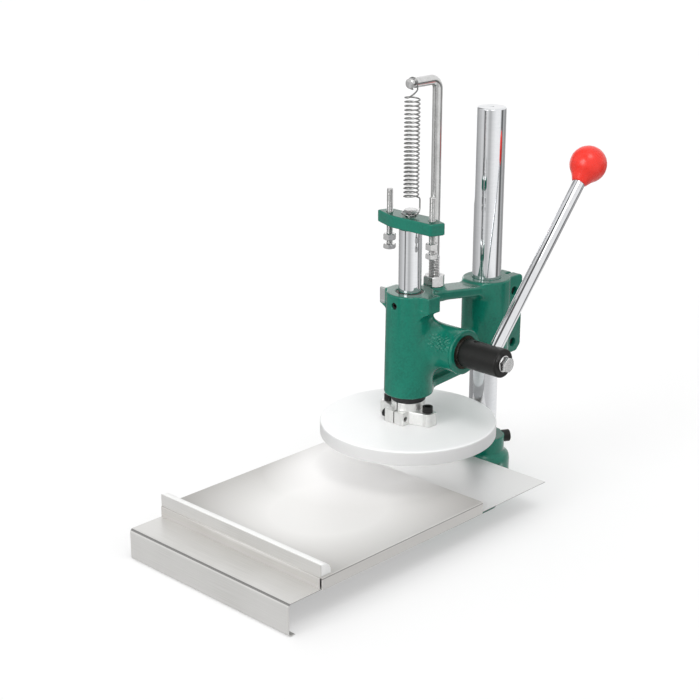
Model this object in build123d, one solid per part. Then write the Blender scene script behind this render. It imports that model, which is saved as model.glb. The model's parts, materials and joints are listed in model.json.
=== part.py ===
from build123d import *
import math
import os

# Hand press for pizza dough, in millimetres.
# +Z is up, +Y points from the press disc to the column, +X points to the lever.
# The origin lies on the bench, straight below the centre of the press disc.

# Clearances
RUN_FIT = 0.04
SEAT_FIT = 0.02
PLATE_PLAY = 0.3
GLIDE_PLAY = 0.1
BUMPER_PLAY = 0.3

# Sheet metal
SHEET = 1.2
FOLD_RADIUS = 2.4

# Tray
TRAY_WIDTH = 268.0
TRAY_FRONT = 338.5
TRAY_BACK = 110.0
TRAY_HEIGHT = 40.0
TRAY_LIP = 9.0
TRAY_FOLD_RADIUS = 4.0
TRAY_SCREW_DIA = 5.0
TRAY_SCREW_HEAD = 10.0
TRAY_SCREW_LENGTH = 14.0

# Work plate, pulled out to the front
PLATE_LENGTH = 276.0
PLATE_FRONT = 291.0
PLATE_RISE = 13.5
PLATE_SKIRT = 15.0
PLATE_CORNER_GAP = 4.0

# Fence along the front of the work plate
FENCE_HEIGHT = 14.9
FENCE_SHEET = 1.0
FENCE_SETBACK = 1.5
FENCE_END_GAP = 1.5
BUMPER_DEPTH = 15.0
BUMPER_ROUND = 11.0
FENCE_SCREW_DIA = 4.0
FENCE_SCREW_HEAD = 7.5
FENCE_SCREW_HEAD_HEIGHT = 2.4
FENCE_SCREW_GRIP = 8.0
FENCE_SCREW_COUNT = 3

# Glide rails under the work plate
RAIL_WIDTH = 12.0
RAIL_INSET = 28.0
RAIL_END_GAP = 6.0

# Base casting
BASE_WIDTH = 172.0
BASE_FRONT = 80.0
BASE_BACK = 82.0
BASE_THICK = 27.0
BASE_CORNER = 14.0
NECK_WIDTH = 150.0
PLINTH_DIA = 73.0
PLINTH_HEIGHT = 30.3
FLARE_HEIGHT = 5.7
SOCKET_DIA = 59.6
SOCKET_HEIGHT = 57.5
SOCKET_FLOOR = 4.0
SOCKET_SCREW_TURN = 60.0
SOCKET_SCREW_FACE = 28.6
SOCKET_SCREW_DROP = 7.5
PAD_DIA = 22.0
PAD_SPREAD = 116.0
PAD_ROWS = (-62.0, -28.0, 62.0)
BENCH_SPACING_X = 132.0
BENCH_SPACING_Y = 124.0
BENCH_HOLE_DIA = 8.4
BENCH_HOLE_DEPTH = 18.0

# Column
COLUMN_DIA = 36.9
COLUMN_REACH = 147.5
COLUMN_LENGTH = 487.6
COLUMN_CHAMFER = 1.5
COLUMN_CENTRE_DIA = 6.0
COLUMN_CENTRE_DEPTH = 3.0

# Press disc
DISC_DIA = 220.0
DISC_THICK = 17.5
DISC_EDGE = 2.5
PRESS_GAP = 49.5
DOUGH_GAP = 2.0

# Clamp collar between disc and ram
COLLAR_DIA = 42.0
COLLAR_HEIGHT = 26.5
COLLAR_FLANGE_HEIGHT = 16.5
COLLAR_LENGTH = 82.0
COLLAR_WAIST = 30.6
COLLAR_EAR_WIDTH = 18.0
COLLAR_BLOCK_WIDTH = 30.0
COLLAR_BLOCK_REACH = 27.0
COLLAR_SLIT = 1.6
COLLAR_SCREW_DIA = 6.0
COLLAR_SCREW_HEAD = 10.0
COLLAR_SCREW_HEAD_HEIGHT = 6.0
COLLAR_SCREW_REACH = 21.0
COLLAR_SCREW_RECESS = 3.0
DISC_SCREW_SPREAD = 64.0
DISC_SCREW_DIA = 8.0
DISC_SCREW_HEAD = 13.0
DISC_SCREW_HEAD_HEIGHT = 8.0
DISC_SCREW_GRIP = 12.0

# Bumper ring above the collar
BUMPER_RING_DIA = 43.0
BUMPER_RING_THICK = 8.7

# Ram
RAM_DIA = 28.0
RAM_ABOVE_HEAD = 78.5
RAM_FOOT_GAP = 0.5

# Rack and pinion
MODULE = 2.0
PINION_TEETH = 18
PRESSURE_ANGLE = 20.0
BACKLASH = 0.24
ROOT_FACTOR = 1.25
RACK_DEPTH = 1.5
RACK_TEETH_BELOW = 2
RACK_TEETH_ABOVE = 10
PINION_WIDTH = 18.0
PINION_ABOVE_FOOT = 60.0
FLANK_POINTS = 5

# Head casting
HEAD_HEIGHT = 130.0
BARREL_TOP_DIA = 57.4
BARREL_FOOT_DIA = 61.0
LUG_SPAN = 79.0
LUG_WIDTH = 22.0
LUG_HEIGHT = 18.0
LUG_CORNER = 2.5
GUSSET_SPAN = 76.0
GUSSET_DEPTH = 6.0
ARM_WIDTH = 36.0
ARM_THICK = 12.0
ARM_DROP_BACK = 8.0
FLANGE_THICK = 10.0
WEB_THICK = 12.0
WEB_BELOW_PINION = 11.0
CLAMP_DIA = 62.0
CLAMP_DROP = 13.0
CLAMP_HEIGHT = 108.0
CLAMP_SLIT = 3.5
EAR_HALF = 16.0
EAR_REACH = 55.0
EAR_DROP = 4.0
EAR_CHAMFER = 8.0
EAR_TOP_CHAMFER = 3.0
EAR_SCREW_REACH = 38.5
EAR_SCREW_ABOVE_FOOT = 14.0
EAR_SCREW_BELOW_TOP = 20.0
BOSS_DIA = 54.0
BOSS_RIGHT = 66.0
BOSS_LEFT = 30.0
BOSS_LIP = 1.0
BOSS_LIP_WIDTH = 4.0
POST_BOSS_DIA = 28.0
POST_BOSS_DROP = 2.0
POST_BOSS_DEPTH = 24.0

# Clamp screws of head and socket
CLAMP_SCREW_DIA = 10.0
CLAMP_SCREW_HEAD = 16.0
CLAMP_SCREW_HEAD_HEIGHT = 10.0
CLAMP_SCREW_PLAY = 0.5
CLAMP_SCREW_RECESS = 4.0
SOCKET_SIZE_RATIO = 0.5

# Bushes and guide screw
BUSH_WALL = 3.0
BUSH_LENGTH = 37.0
BUSH_INSET = 0.8
GUIDE_SCREW_DIA = 8.0
GUIDE_SCREW_DROP = 13.0
GUIDE_SCREW_RECESS = 2.0

# Pinion shaft
JOURNAL_DIA = 24.0
TAIL_DIA = 20.0
TAIL_BUSH_WALL = 4.0
TAIL_BUSH_LENGTH = 14.0
PINION_TIP_PLAY = 0.6
PINION_SIDE_PLAY = 0.4
HUB_SEAT_DIA = 22.0
HUB_SEAT_LENGTH = 24.0
KEY_SIZE = 6.0
KEY_LENGTH = 18.0
WASHER_DIA = 35.0
WASHER_THICK = 2.0

# Lever
HUB_DIA = 35.6
HUB_LENGTH = 57.0
HUB_CHAMFER = 2.0
HUB_GRUB_DIA = 6.0
HUB_GRUB_PLACE = 14.0
HUB_GRUB_RECESS = 1.5
LEVER_DIA = 16.0
LEVER_PLACE = 36.0
LEVER_TILT = 49.0
LEVER_REACH = 277.0
LEVER_FOOT = 9.0
KNOB_DIA = 46.0
KNOB_NECK_DIA = 18.0
KNOB_NECK_REACH = 27.3
KNOB_NECK_BASE = 12.0
KNOB_NECK_BASE_DIA = 36.2
KNOB_BORE_DEPTH = 29.3
LOCK_BOLT_DIA = 10.0
LOCK_BOLT_FLATS = 17.0
LOCK_BOLT_HEAD = 7.0
LOCK_BOLT_COLLAR_DIA = 20.0
LOCK_BOLT_COLLAR = 2.0

# Crossbar, its bolt and the stops
CROSSBAR_LENGTH = 104.0
CROSSBAR_WIDTH = 30.0
CROSSBAR_THICK = 15.0
CROSSBAR_TIP_SHIFT = 3.0
CROSSBAR_CORNER_REACH = 45.0
CROSSBAR_BEVEL_START = 20.0
CROSSBAR_ROUND = 3.0
CROSSBAR_BOLT_DIA = 12.0
CROSSBAR_BOLT_FLATS = 16.0
CROSSBAR_BOLT_HEAD = 5.0
CROSSBAR_BOLT_GRIP = 26.0
CROSSBAR_BOLT_PLAY = 0.3
HOOK_SPACE = 5.0
STOP_SPREAD = 68.0
STOP_DIA = 8.0
STOP_FLATS = 14.0
STOP_PLAY = 0.2
STOP_HEAD = 6.0
STOP_ABOVE = 28.5
STOP_NUT = 6.5
STOP_NUT_DROP = 11.0

# Return spring
SPRING_DIA = 19.3
WIRE_DIA = 1.8
SPRING_TURNS = 25
COIL_LENGTH = 120.0
SPRING_TAIL = 20.0
HOOK_RISE = 16.0
HOOK_PLAY = 0.4
HOOK_STEP = 2.8
EYE_DIA = 21.0
EYE_SHIFT = 2.0
EYE_TILT = 5.0
EYE_QUARTERS = (-5 / 3, -1.0, 0.0, 2 / 3)
TAIL_ANGLE = 44.0
TAIL_BEND = 9.0
COIL_END_ANGLE = 270.0
HOOK_QUARTERS = 3
SAME_WAY = 1e-9

# Spring post
POST_DIA = 12.0
POST_REACH = 44.5
POST_BEND = 12.0
POST_TIP = 6.5
POST_THREAD_DIA = 14.0
POST_THREAD_ABOVE = 38.0
POST_GROOVE_DIA = 10.4
POST_GROOVE = 6.0
POST_NUT_FLATS = 22.0
POST_NUT_HEIGHT = 12.0

# Heights, from the bench up
tray_underside = TRAY_HEIGHT - SHEET
plate_top = TRAY_HEIGHT + PLATE_RISE
plate_underside = plate_top - SHEET
disc_bottom = plate_top + PRESS_GAP
disc_top = disc_bottom + DISC_THICK
collar_flange_top = disc_top + COLLAR_FLANGE_HEIGHT
collar_top = disc_top + COLLAR_HEIGHT
ring_top = collar_top + BUMPER_RING_THICK
head_bottom = ring_top + BUMPER_PLAY
head_top = head_bottom + HEAD_HEIGHT
lug_top = head_top
stroke = PRESS_GAP - DOUGH_GAP
stop_bottom = lug_top + stroke + STOP_PLAY
stop_places = (-STOP_SPREAD / 2, STOP_SPREAD / 2)
crossbar_bottom = head_top + RAM_ABOVE_HEAD
crossbar_top = crossbar_bottom + CROSSBAR_THICK
bolt_seat = crossbar_top + HOOK_SPACE
loop_height = crossbar_top + HOOK_SPACE / 2
coil_bottom = loop_height + SPRING_TAIL
coil_top = coil_bottom + COIL_LENGTH
post_height = coil_top + HOOK_RISE
clamp_top = head_top - CLAMP_DROP
clamp_bottom = clamp_top - CLAMP_HEIGHT
post_boss_top = head_top - POST_BOSS_DROP
post_boss_bottom = post_boss_top - POST_BOSS_DEPTH

# Places across and along
half_tray = TRAY_WIDTH / 2
half_plate = half_tray + PLATE_PLAY + SHEET
plate_front = -PLATE_FRONT
plate_back = plate_front + PLATE_LENGTH
column_radius = COLUMN_DIA / 2
column_bottom = SOCKET_FLOOR
column_top = column_bottom + COLUMN_LENGTH
socket_screw_z = SOCKET_HEIGHT - SOCKET_SCREW_DROP
socket_screw_place = Pos(0, COLUMN_REACH, socket_screw_z) * Rot(0, 0, SOCKET_SCREW_TURN)
ear_screw_y = COLUMN_REACH + EAR_SCREW_REACH
ear_top = clamp_top - EAR_DROP
ear_screw_heights = (clamp_bottom + EAR_SCREW_ABOVE_FOOT, ear_top - EAR_SCREW_BELOW_TOP)
ram_radius = RAM_DIA / 2
bush_radius = ram_radius + RUN_FIT + BUSH_WALL

# Gear sizes
pitch_radius = MODULE * PINION_TEETH / 2
tip_radius = pitch_radius + MODULE
root_radius = pitch_radius - ROOT_FACTOR * MODULE
base_radius = pitch_radius * math.cos(math.radians(PRESSURE_ANGLE))
circular_pitch = math.pi * MODULE
rack_tip = ram_radius - RACK_DEPTH
rack_pitch_line = rack_tip - MODULE
rack_root = rack_pitch_line - ROOT_FACTOR * MODULE
pinion_y = rack_pitch_line + pitch_radius
pinion_z = head_bottom + PINION_ABOVE_FOOT
pinion_bore_radius = tip_radius + PINION_TIP_PLAY
half_pinion = PINION_WIDTH / 2
web_top = pinion_z - WEB_BELOW_PINION

# Lever places along X
washer_left = BOSS_RIGHT + GLIDE_PLAY
hub_left = washer_left + WASHER_THICK + GLIDE_PLAY
hub_right = hub_left + HUB_LENGTH
lever_x = hub_left + LEVER_PLACE
lever_axis = Vector(0, math.cos(math.radians(LEVER_TILT)), math.sin(math.radians(LEVER_TILT)))
lever_origin = Vector(lever_x, pinion_y, pinion_z)


def block(x0, x1, y0, y1, z0, z1):
    """Box between two opposite corners."""
    middle = Pos((x0 + x1) / 2, (y0 + y1) / 2, (z0 + z1) / 2)
    return middle * Box(x1 - x0, y1 - y0, z1 - z0)


def rod_x(radius, x0, x1, y, z):
    """Cylinder along X."""
    return Pos((x0 + x1) / 2, y, z) * Rot(0, 90, 0) * Cylinder(radius, x1 - x0)


def rod_y(radius, x, y0, y1, z):
    """Cylinder along Y."""
    return Pos(x, (y0 + y1) / 2, z) * Rot(90, 0, 0) * Cylinder(radius, y1 - y0)


def rod_z(radius, x, y, z0, z1):
    """Cylinder along Z."""
    return Pos(x, y, (z0 + z1) / 2) * Cylinder(radius, z1 - z0)


def hex_z(flats, x, y, z0, z1, turn=0):
    """Hexagonal prism along Z, measured across its flats."""
    outline = RegularPolygon(flats / 2, 6, major_radius=False, rotation=turn)
    return Pos(x, y, z0) * extrude(outline, z1 - z0)


def side_plate(points, half_width):
    """Plate with an outline of (y, z) points, the same width to both sides of X = 0."""
    outline = Plane.YZ * make_face(Polyline(*points, close=True))
    return extrude(outline, half_width, both=True)


def front_plate(points, half_depth):
    """Plate with an outline of (x, z) points, the same depth to both sides of Y = 0."""
    outline = Plane.XZ * make_face(Polyline(*points, close=True))
    return extrude(outline, half_depth, both=True)


def rail_rod(radius, start, end):
    """Cylinder on the lever's own axis, between two distances from the pinion axis."""
    place = Plane(origin=lever_origin + lever_axis * start, z_dir=lever_axis)
    return place * extrude(Circle(radius), end - start)


def cap_screw_x(dia, head_dia, head_height, seat, tip, y, z):
    """Socket head screw along X: the head stands on the seat, away from the tip."""
    out = math.copysign(1, seat - tip)
    head_end = seat + out * head_height
    floor = head_end - out * head_height * SOCKET_SIZE_RATIO
    screw = rod_x(dia / 2, min(seat, tip), max(seat, tip), y, z)
    screw += rod_x(head_dia / 2, min(seat, head_end), max(seat, head_end), y, z)
    key_face = Plane.YZ * RegularPolygon(head_dia * SOCKET_SIZE_RATIO / 2, 6, major_radius=False)
    key_hole = extrude(key_face, abs(head_end - floor))
    return screw - Pos(min(floor, head_end), y, z) * key_hole


def cap_screw_z(dia, head_dia, head_height, x, y, seat, tip):
    """Socket head screw along Z with its head on top."""
    screw = rod_z(dia / 2, x, y, tip, seat)
    screw += rod_z(head_dia / 2, x, y, seat, seat + head_height)
    floor = seat + head_height * (1 - SOCKET_SIZE_RATIO)
    return screw - hex_z(head_dia * SOCKET_SIZE_RATIO, x, y, floor, seat + head_height)


def tray_screw_places():
    """Screws of the tray: only the rows that the work plate covers."""
    rows = [y for y in PAD_ROWS if y < plate_back]
    return [(side * PAD_SPREAD / 2, y) for y in rows for side in (-1, 1)]


def countersunk(x, y, top, length, dia, head_dia):
    """Countersunk screw with a flush head."""
    sink = (head_dia - dia) / 2
    head = Pos(x, y, top - sink / 2) * Cone(dia / 2, head_dia / 2, sink)
    return head + rod_z(dia / 2, x, y, top - length, top - sink)


def tray_screw_hole(x, y):
    """Countersunk hole through the tray into its pad."""
    dia = TRAY_SCREW_DIA + 2 * SEAT_FIT
    head_dia = TRAY_SCREW_HEAD + 2 * SEAT_FIT
    return countersunk(x, y, TRAY_HEIGHT, TRAY_SCREW_LENGTH, dia, head_dia)


def make_base_casting():
    """Slab with tray pads, a neck and the round socket of the column."""
    slab_y = (BASE_BACK - BASE_FRONT) / 2
    slab = extrude(RectangleRounded(BASE_WIDTH, BASE_FRONT + BASE_BACK, BASE_CORNER), BASE_THICK)
    body = Pos(0, slab_y, 0) * slab
    half_neck = NECK_WIDTH / 2
    half_plinth = PLINTH_DIA / 2
    neck = make_face(
        Polyline(
            (-half_neck, slab_y),
            (half_neck, slab_y),
            (half_neck, BASE_BACK),
            (half_plinth, COLUMN_REACH),
            (-half_plinth, COLUMN_REACH),
            (-half_neck, BASE_BACK),
            close=True,
        )
    )
    body += extrude(neck, BASE_THICK)
    body += rod_z(half_plinth, 0, COLUMN_REACH, 0, PLINTH_HEIGHT)
    flare = Cone(half_plinth, SOCKET_DIA / 2, FLARE_HEIGHT)
    body += Pos(0, COLUMN_REACH, PLINTH_HEIGHT + FLARE_HEIGHT / 2) * flare
    body += rod_z(SOCKET_DIA / 2, 0, COLUMN_REACH, BASE_THICK, SOCKET_HEIGHT)
    for side in (-1, 1):
        for row in PAD_ROWS:
            body += rod_z(PAD_DIA / 2, side * PAD_SPREAD / 2, row, BASE_THICK, tray_underside)
        for row in (-1, 1):
            hole_x = side * BENCH_SPACING_X / 2
            hole_y = row * BENCH_SPACING_Y / 2
            body -= rod_z(BENCH_HOLE_DIA / 2, hole_x, hole_y, 0, BENCH_HOLE_DEPTH)
    body -= rod_z(column_radius + SEAT_FIT, 0, COLUMN_REACH, SOCKET_FLOOR, SOCKET_HEIGHT)
    face_end = SOCKET_SCREW_FACE + CLAMP_SCREW_HEAD_HEIGHT
    face_radius = CLAMP_SCREW_HEAD / 2 + CLAMP_SCREW_PLAY
    body -= socket_screw_place * rod_x(CLAMP_SCREW_DIA / 2 + SEAT_FIT, 0, SOCKET_SCREW_FACE, 0, 0)
    body -= socket_screw_place * rod_x(face_radius, SOCKET_SCREW_FACE, face_end, 0, 0)
    for x, y in tray_screw_places():
        body -= tray_screw_hole(x, y)
    return body


def make_column():
    """Round bar with a chamfered top and a turning centre."""
    bar = rod_z(column_radius, 0, COLUMN_REACH, column_bottom, column_top)
    bar = chamfer(bar.edges().group_by(Axis.Z)[-1], COLUMN_CHAMFER)
    centre = Cone(0, COLUMN_CENTRE_DIA / 2, COLUMN_CENTRE_DEPTH)
    return bar - Pos(0, COLUMN_REACH, column_top - COLUMN_CENTRE_DEPTH / 2) * centre


def make_tray_sheet():
    """Flat sheet with the front flange folded down and a return lip, screwed to the base."""
    mid = SHEET / 2
    front = -TRAY_FRONT + mid
    path = FilletPolyline(
        (0, TRAY_BACK, TRAY_HEIGHT - mid),
        (0, front, TRAY_HEIGHT - mid),
        (0, front, mid),
        (0, front + TRAY_LIP, mid),
        radius=TRAY_FOLD_RADIUS,
    )
    start = Plane(origin=(0, TRAY_BACK, TRAY_HEIGHT - mid), x_dir=(1, 0, 0), z_dir=(0, -1, 0))
    sheet = sweep(start * Rectangle(TRAY_WIDTH, SHEET), path=path)
    for x, y in tray_screw_places():
        sheet -= tray_screw_hole(x, y)
    return sheet


def make_tray_screws():
    """Countersunk screws that hold the tray on its pads."""
    return [
        countersunk(x, y, TRAY_HEIGHT, TRAY_SCREW_LENGTH - SEAT_FIT, TRAY_SCREW_DIA, TRAY_SCREW_HEAD)
        for x, y in tray_screw_places()
    ]


def fence_screw_places():
    """Screws from below, spread evenly along the fence."""
    spread = 2 * half_plate / FENCE_SCREW_COUNT
    first = -half_plate + spread / 2
    y = plate_front + FENCE_SETBACK + FENCE_SHEET + BUMPER_DEPTH / 2
    return [(first + spread * i, y) for i in range(FENCE_SCREW_COUNT)]


def make_work_plate():
    """Flat top with two side skirts and a front riser, open at the two front corners."""
    mid = SHEET / 2
    wall = half_plate - mid
    skirt_foot = plate_top - PLATE_SKIRT
    channel_front = plate_front + PLATE_CORNER_GAP
    across = FilletPolyline(
        (-wall, channel_front, skirt_foot),
        (-wall, channel_front, plate_top - mid),
        (wall, channel_front, plate_top - mid),
        (wall, channel_front, skirt_foot),
        radius=FOLD_RADIUS,
    )
    section = Plane(origin=(-wall, channel_front, skirt_foot), x_dir=(1, 0, 0), z_dir=(0, 0, 1))
    length = plate_back - channel_front
    strip = Pos(0, length / 2, 0) * Rectangle(SHEET, length)
    plate = sweep(section * strip, path=across)
    riser_foot = TRAY_HEIGHT + GLIDE_PLAY
    down = FilletPolyline(
        (0, channel_front + FOLD_RADIUS, plate_top - mid),
        (0, plate_front + mid, plate_top - mid),
        (0, plate_front + mid, riser_foot),
        radius=FOLD_RADIUS,
    )
    front = Plane(
        origin=(0, channel_front + FOLD_RADIUS, plate_top - mid), x_dir=(1, 0, 0), z_dir=(0, -1, 0)
    )
    riser_width = 2 * (half_plate - SHEET - FOLD_RADIUS)
    plate += sweep(front * Rectangle(riser_width, SHEET), path=down)
    for x, y in fence_screw_places():
        plate -= rod_z(FENCE_SCREW_DIA / 2 + SEAT_FIT, x, y, plate_underside, plate_top)
    return plate


def make_fence_strip():
    """Angle strip that stands on the plate behind the riser."""
    front = plate_front + FENCE_SETBACK
    inside = front + FENCE_SHEET
    back = inside + BUMPER_DEPTH
    half = half_plate - FENCE_END_GAP
    strip = block(-half, half, front, inside, plate_top, plate_top + FENCE_HEIGHT)
    strip += block(-half, half, front, back, plate_top, plate_top + FENCE_SHEET)
    for x, y in fence_screw_places():
        strip -= rod_z(FENCE_SCREW_DIA / 2 + SEAT_FIT, x, y, plate_top, plate_top + FENCE_SHEET)
    return strip


def make_fence_bumper():
    """Quarter round strip behind the fence."""
    front = plate_front + FENCE_SETBACK + FENCE_SHEET
    bottom = plate_top + FENCE_SHEET
    height = FENCE_HEIGHT - FENCE_SHEET
    half = half_plate - FENCE_END_GAP
    profile = Rectangle(BUMPER_DEPTH, height, align=(Align.MIN, Align.MIN))
    profile = fillet(profile.vertices().sort_by(Axis.Y)[-2:].sort_by(Axis.X)[-1], BUMPER_ROUND)
    bumper = extrude(Plane.YZ * Pos(front, bottom) * profile, half, both=True)
    for x, y in fence_screw_places():
        bumper -= rod_z(FENCE_SCREW_DIA / 2 + SEAT_FIT, x, y, bottom, bottom + FENCE_SCREW_GRIP)
    return bumper


def make_fence_screws():
    """Pan head screws under the plate."""
    screws = []
    for x, y in fence_screw_places():
        seat = plate_underside
        tip = plate_top + FENCE_SHEET + FENCE_SCREW_GRIP - SEAT_FIT
        head = rod_z(FENCE_SCREW_HEAD / 2, x, y, seat - FENCE_SCREW_HEAD_HEIGHT, seat)
        screws.append(head + rod_z(FENCE_SCREW_DIA / 2, x, y, seat, tip))
    return screws


def make_glide_rail(side):
    """Plastic strip under the plate that slides on the tray."""
    middle = side * (half_tray - RAIL_INSET)
    back_of_fence = plate_front + FENCE_SETBACK + FENCE_SHEET + BUMPER_DEPTH
    return block(
        middle - RAIL_WIDTH / 2,
        middle + RAIL_WIDTH / 2,
        back_of_fence + RAIL_END_GAP,
        plate_back - RAIL_END_GAP,
        TRAY_HEIGHT + GLIDE_PLAY,
        plate_underside,
    )


def make_head_casting():
    """Ram barrel with stop lugs, a bridge to the split column clamp, and the pinion boss."""
    barrel = Cone(BARREL_FOOT_DIA / 2, BARREL_TOP_DIA / 2, HEAD_HEIGHT)
    body = Pos(0, 0, head_bottom + HEAD_HEIGHT / 2) * barrel
    lugs = extrude(RectangleRounded(LUG_SPAN, LUG_WIDTH, LUG_CORNER), LUG_HEIGHT)
    lug_floor = lug_top - LUG_HEIGHT
    body += Pos(0, 0, lug_floor) * lugs
    gusset = front_plate(
        [
            (-GUSSET_SPAN / 2, lug_floor),
            (GUSSET_SPAN / 2, lug_floor),
            (BARREL_TOP_DIA / 2, lug_floor - GUSSET_DEPTH),
            (-BARREL_TOP_DIA / 2, lug_floor - GUSSET_DEPTH),
        ],
        LUG_WIDTH / 2,
    )
    body += gusset
    arm_front = head_top
    arm_back = clamp_top - ARM_DROP_BACK
    body += side_plate(
        [
            (0, arm_front),
            (COLUMN_REACH, arm_back),
            (COLUMN_REACH, arm_back - ARM_THICK),
            (0, arm_front - ARM_THICK),
        ],
        ARM_WIDTH / 2,
    )
    body += side_plate(
        [
            (0, head_bottom),
            (COLUMN_REACH, clamp_bottom),
            (COLUMN_REACH, clamp_bottom + FLANGE_THICK),
            (0, head_bottom + FLANGE_THICK),
        ],
        ARM_WIDTH / 2,
    )
    body += side_plate(
        [(0, head_bottom), (COLUMN_REACH, clamp_bottom), (COLUMN_REACH, web_top), (0, web_top)],
        WEB_THICK / 2,
    )
    boss_radius = BOSS_DIA / 2
    body += rod_x(boss_radius, -BOSS_LEFT, BOSS_RIGHT, pinion_y, pinion_z)
    lip_left = BOSS_RIGHT - BOSS_LIP_WIDTH
    body += rod_x(boss_radius + BOSS_LIP, lip_left, BOSS_RIGHT, pinion_y, pinion_z)
    body += rod_z(POST_BOSS_DIA / 2, 0, POST_REACH, post_boss_bottom, post_boss_top)
    body += rod_z(CLAMP_DIA / 2, 0, COLUMN_REACH, clamp_bottom, clamp_top)
    ear_back = COLUMN_REACH + EAR_REACH
    body += side_plate(
        [
            (COLUMN_REACH, clamp_bottom),
            (ear_back - EAR_CHAMFER, clamp_bottom),
            (ear_back, clamp_bottom + EAR_CHAMFER),
            (ear_back, ear_top - EAR_TOP_CHAMFER),
            (ear_back - EAR_TOP_CHAMFER, ear_top),
            (COLUMN_REACH, ear_top),
        ],
        EAR_HALF,
    )
    half_slit = CLAMP_SLIT / 2
    body -= block(-half_slit, half_slit, COLUMN_REACH, ear_back, clamp_bottom, clamp_top)
    body -= rod_z(column_radius + RUN_FIT, 0, COLUMN_REACH, head_bottom, head_top)
    body -= rod_z(bush_radius + SEAT_FIT, 0, 0, head_bottom, head_top)
    cavity_left = -half_pinion - PINION_SIDE_PLAY
    body -= rod_x(pinion_bore_radius, cavity_left, BOSS_RIGHT, pinion_y, pinion_z)
    tail_seat = TAIL_DIA / 2 + RUN_FIT + TAIL_BUSH_WALL + SEAT_FIT
    body -= rod_x(tail_seat, cavity_left - TAIL_BUSH_LENGTH, cavity_left, pinion_y, pinion_z)
    guide_z = head_top - GUIDE_SCREW_DROP
    body -= rod_y(GUIDE_SCREW_DIA / 2 + SEAT_FIT, 0, -BARREL_FOOT_DIA / 2, -ram_radius, guide_z)
    body -= rod_z(POST_THREAD_DIA / 2 + SEAT_FIT, 0, POST_REACH, post_boss_bottom, post_boss_top)
    screw_radius = CLAMP_SCREW_DIA / 2
    for height in ear_screw_heights:
        body -= rod_x(screw_radius + CLAMP_SCREW_PLAY, -EAR_HALF, 0, ear_screw_y, height)
        body -= rod_x(screw_radius + SEAT_FIT, 0, EAR_HALF, ear_screw_y, height)
    return body


def make_head_clamp_screws():
    """Two socket head screws that close the column clamp."""
    tip = EAR_HALF - CLAMP_SCREW_RECESS
    return [
        cap_screw_x(
            CLAMP_SCREW_DIA, CLAMP_SCREW_HEAD, CLAMP_SCREW_HEAD_HEIGHT, -EAR_HALF, tip, ear_screw_y, height
        )
        for height in ear_screw_heights
    ]


def make_base_clamp_screw():
    """Socket head screw set radially in the socket, its tip on the column."""
    tip = column_radius + SEAT_FIT
    screw = cap_screw_x(
        CLAMP_SCREW_DIA, CLAMP_SCREW_HEAD, CLAMP_SCREW_HEAD_HEIGHT, SOCKET_SCREW_FACE, tip, 0, 0
    )
    return socket_screw_place * screw


def tube_z(inner, outer, z0, z1):
    """Tube round the ram axis."""
    return rod_z(outer, 0, 0, z0, z1) - rod_z(inner, 0, 0, z0, z1)


def make_ram_bush(z0):
    """Bronze bush of the ram."""
    return tube_z(ram_radius + RUN_FIT, bush_radius, z0, z0 + BUSH_LENGTH)


def make_upper_ram_bush():
    """Upper bush, crossed by the guide screw."""
    bush = make_ram_bush(head_top - BUSH_INSET - BUSH_LENGTH)
    guide_z = head_top - GUIDE_SCREW_DROP
    return bush - rod_y(GUIDE_SCREW_DIA / 2 + SEAT_FIT, 0, -bush_radius, 0, guide_z)


def make_guide_screw():
    """Grub screw in the front of the barrel."""
    guide_z = head_top - GUIDE_SCREW_DROP
    fraction = GUIDE_SCREW_DROP / HEAD_HEIGHT
    barrel_radius = (BARREL_TOP_DIA + (BARREL_FOOT_DIA - BARREL_TOP_DIA) * fraction) / 2
    outer = -barrel_radius + GUIDE_SCREW_RECESS
    inner = -ram_radius - RUN_FIT
    screw = rod_y(GUIDE_SCREW_DIA / 2, 0, outer, inner, guide_z)
    key_depth = (inner - outer) * SOCKET_SIZE_RATIO
    key_face = Plane.XZ * RegularPolygon(GUIDE_SCREW_DIA * SOCKET_SIZE_RATIO / 2, 6, major_radius=False)
    return screw - Pos(0, outer + key_depth, guide_z) * extrude(key_face, key_depth)


def make_spring_post():
    """Round bar screwed into the bridge and bent forward over the ram."""
    path = FilletPolyline(
        (0, POST_REACH, post_boss_bottom),
        (0, POST_REACH, post_height),
        (0, -POST_TIP, post_height),
        radius=POST_BEND,
    )
    foot = Plane(origin=(0, POST_REACH, post_boss_bottom), z_dir=(0, 0, 1))
    post = sweep(foot * Circle(POST_DIA / 2), path=path)
    thread_top = post_boss_top + POST_THREAD_ABOVE
    post += rod_z(POST_THREAD_DIA / 2, 0, POST_REACH, post_boss_bottom, thread_top)
    half_groove = POST_GROOVE / 2
    ring = rod_y(POST_THREAD_DIA / 2, 0, -half_groove, half_groove, post_height)
    ring -= rod_y(POST_GROOVE_DIA / 2, 0, -half_groove, half_groove, post_height)
    return post - ring


def make_post_nut():
    """Lock nut of the spring post."""
    top = post_boss_top + POST_NUT_HEIGHT
    nut = hex_z(POST_NUT_FLATS, 0, POST_REACH, post_boss_top, top)
    return nut - rod_z(POST_THREAD_DIA / 2 + SEAT_FIT, 0, POST_REACH, post_boss_top, top)


def biarc(start, start_way, end, end_way):
    """Two tangent arcs from one point and direction to another."""
    chord = end - start
    both = start_way + end_way
    turn = 2 * (1 - start_way.dot(end_way))
    along = chord.dot(both)
    reach = (math.sqrt(along * along + turn * chord.dot(chord)) - along) / turn
    middle = (start + end + (start_way - end_way) * reach) * 0.5
    middle_way = ((end - end_way * reach) - (start + start_way * reach)).normalized()
    return [TangentArc(start, middle, tangent=start_way), TangentArc(middle, end, tangent=middle_way)]


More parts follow.
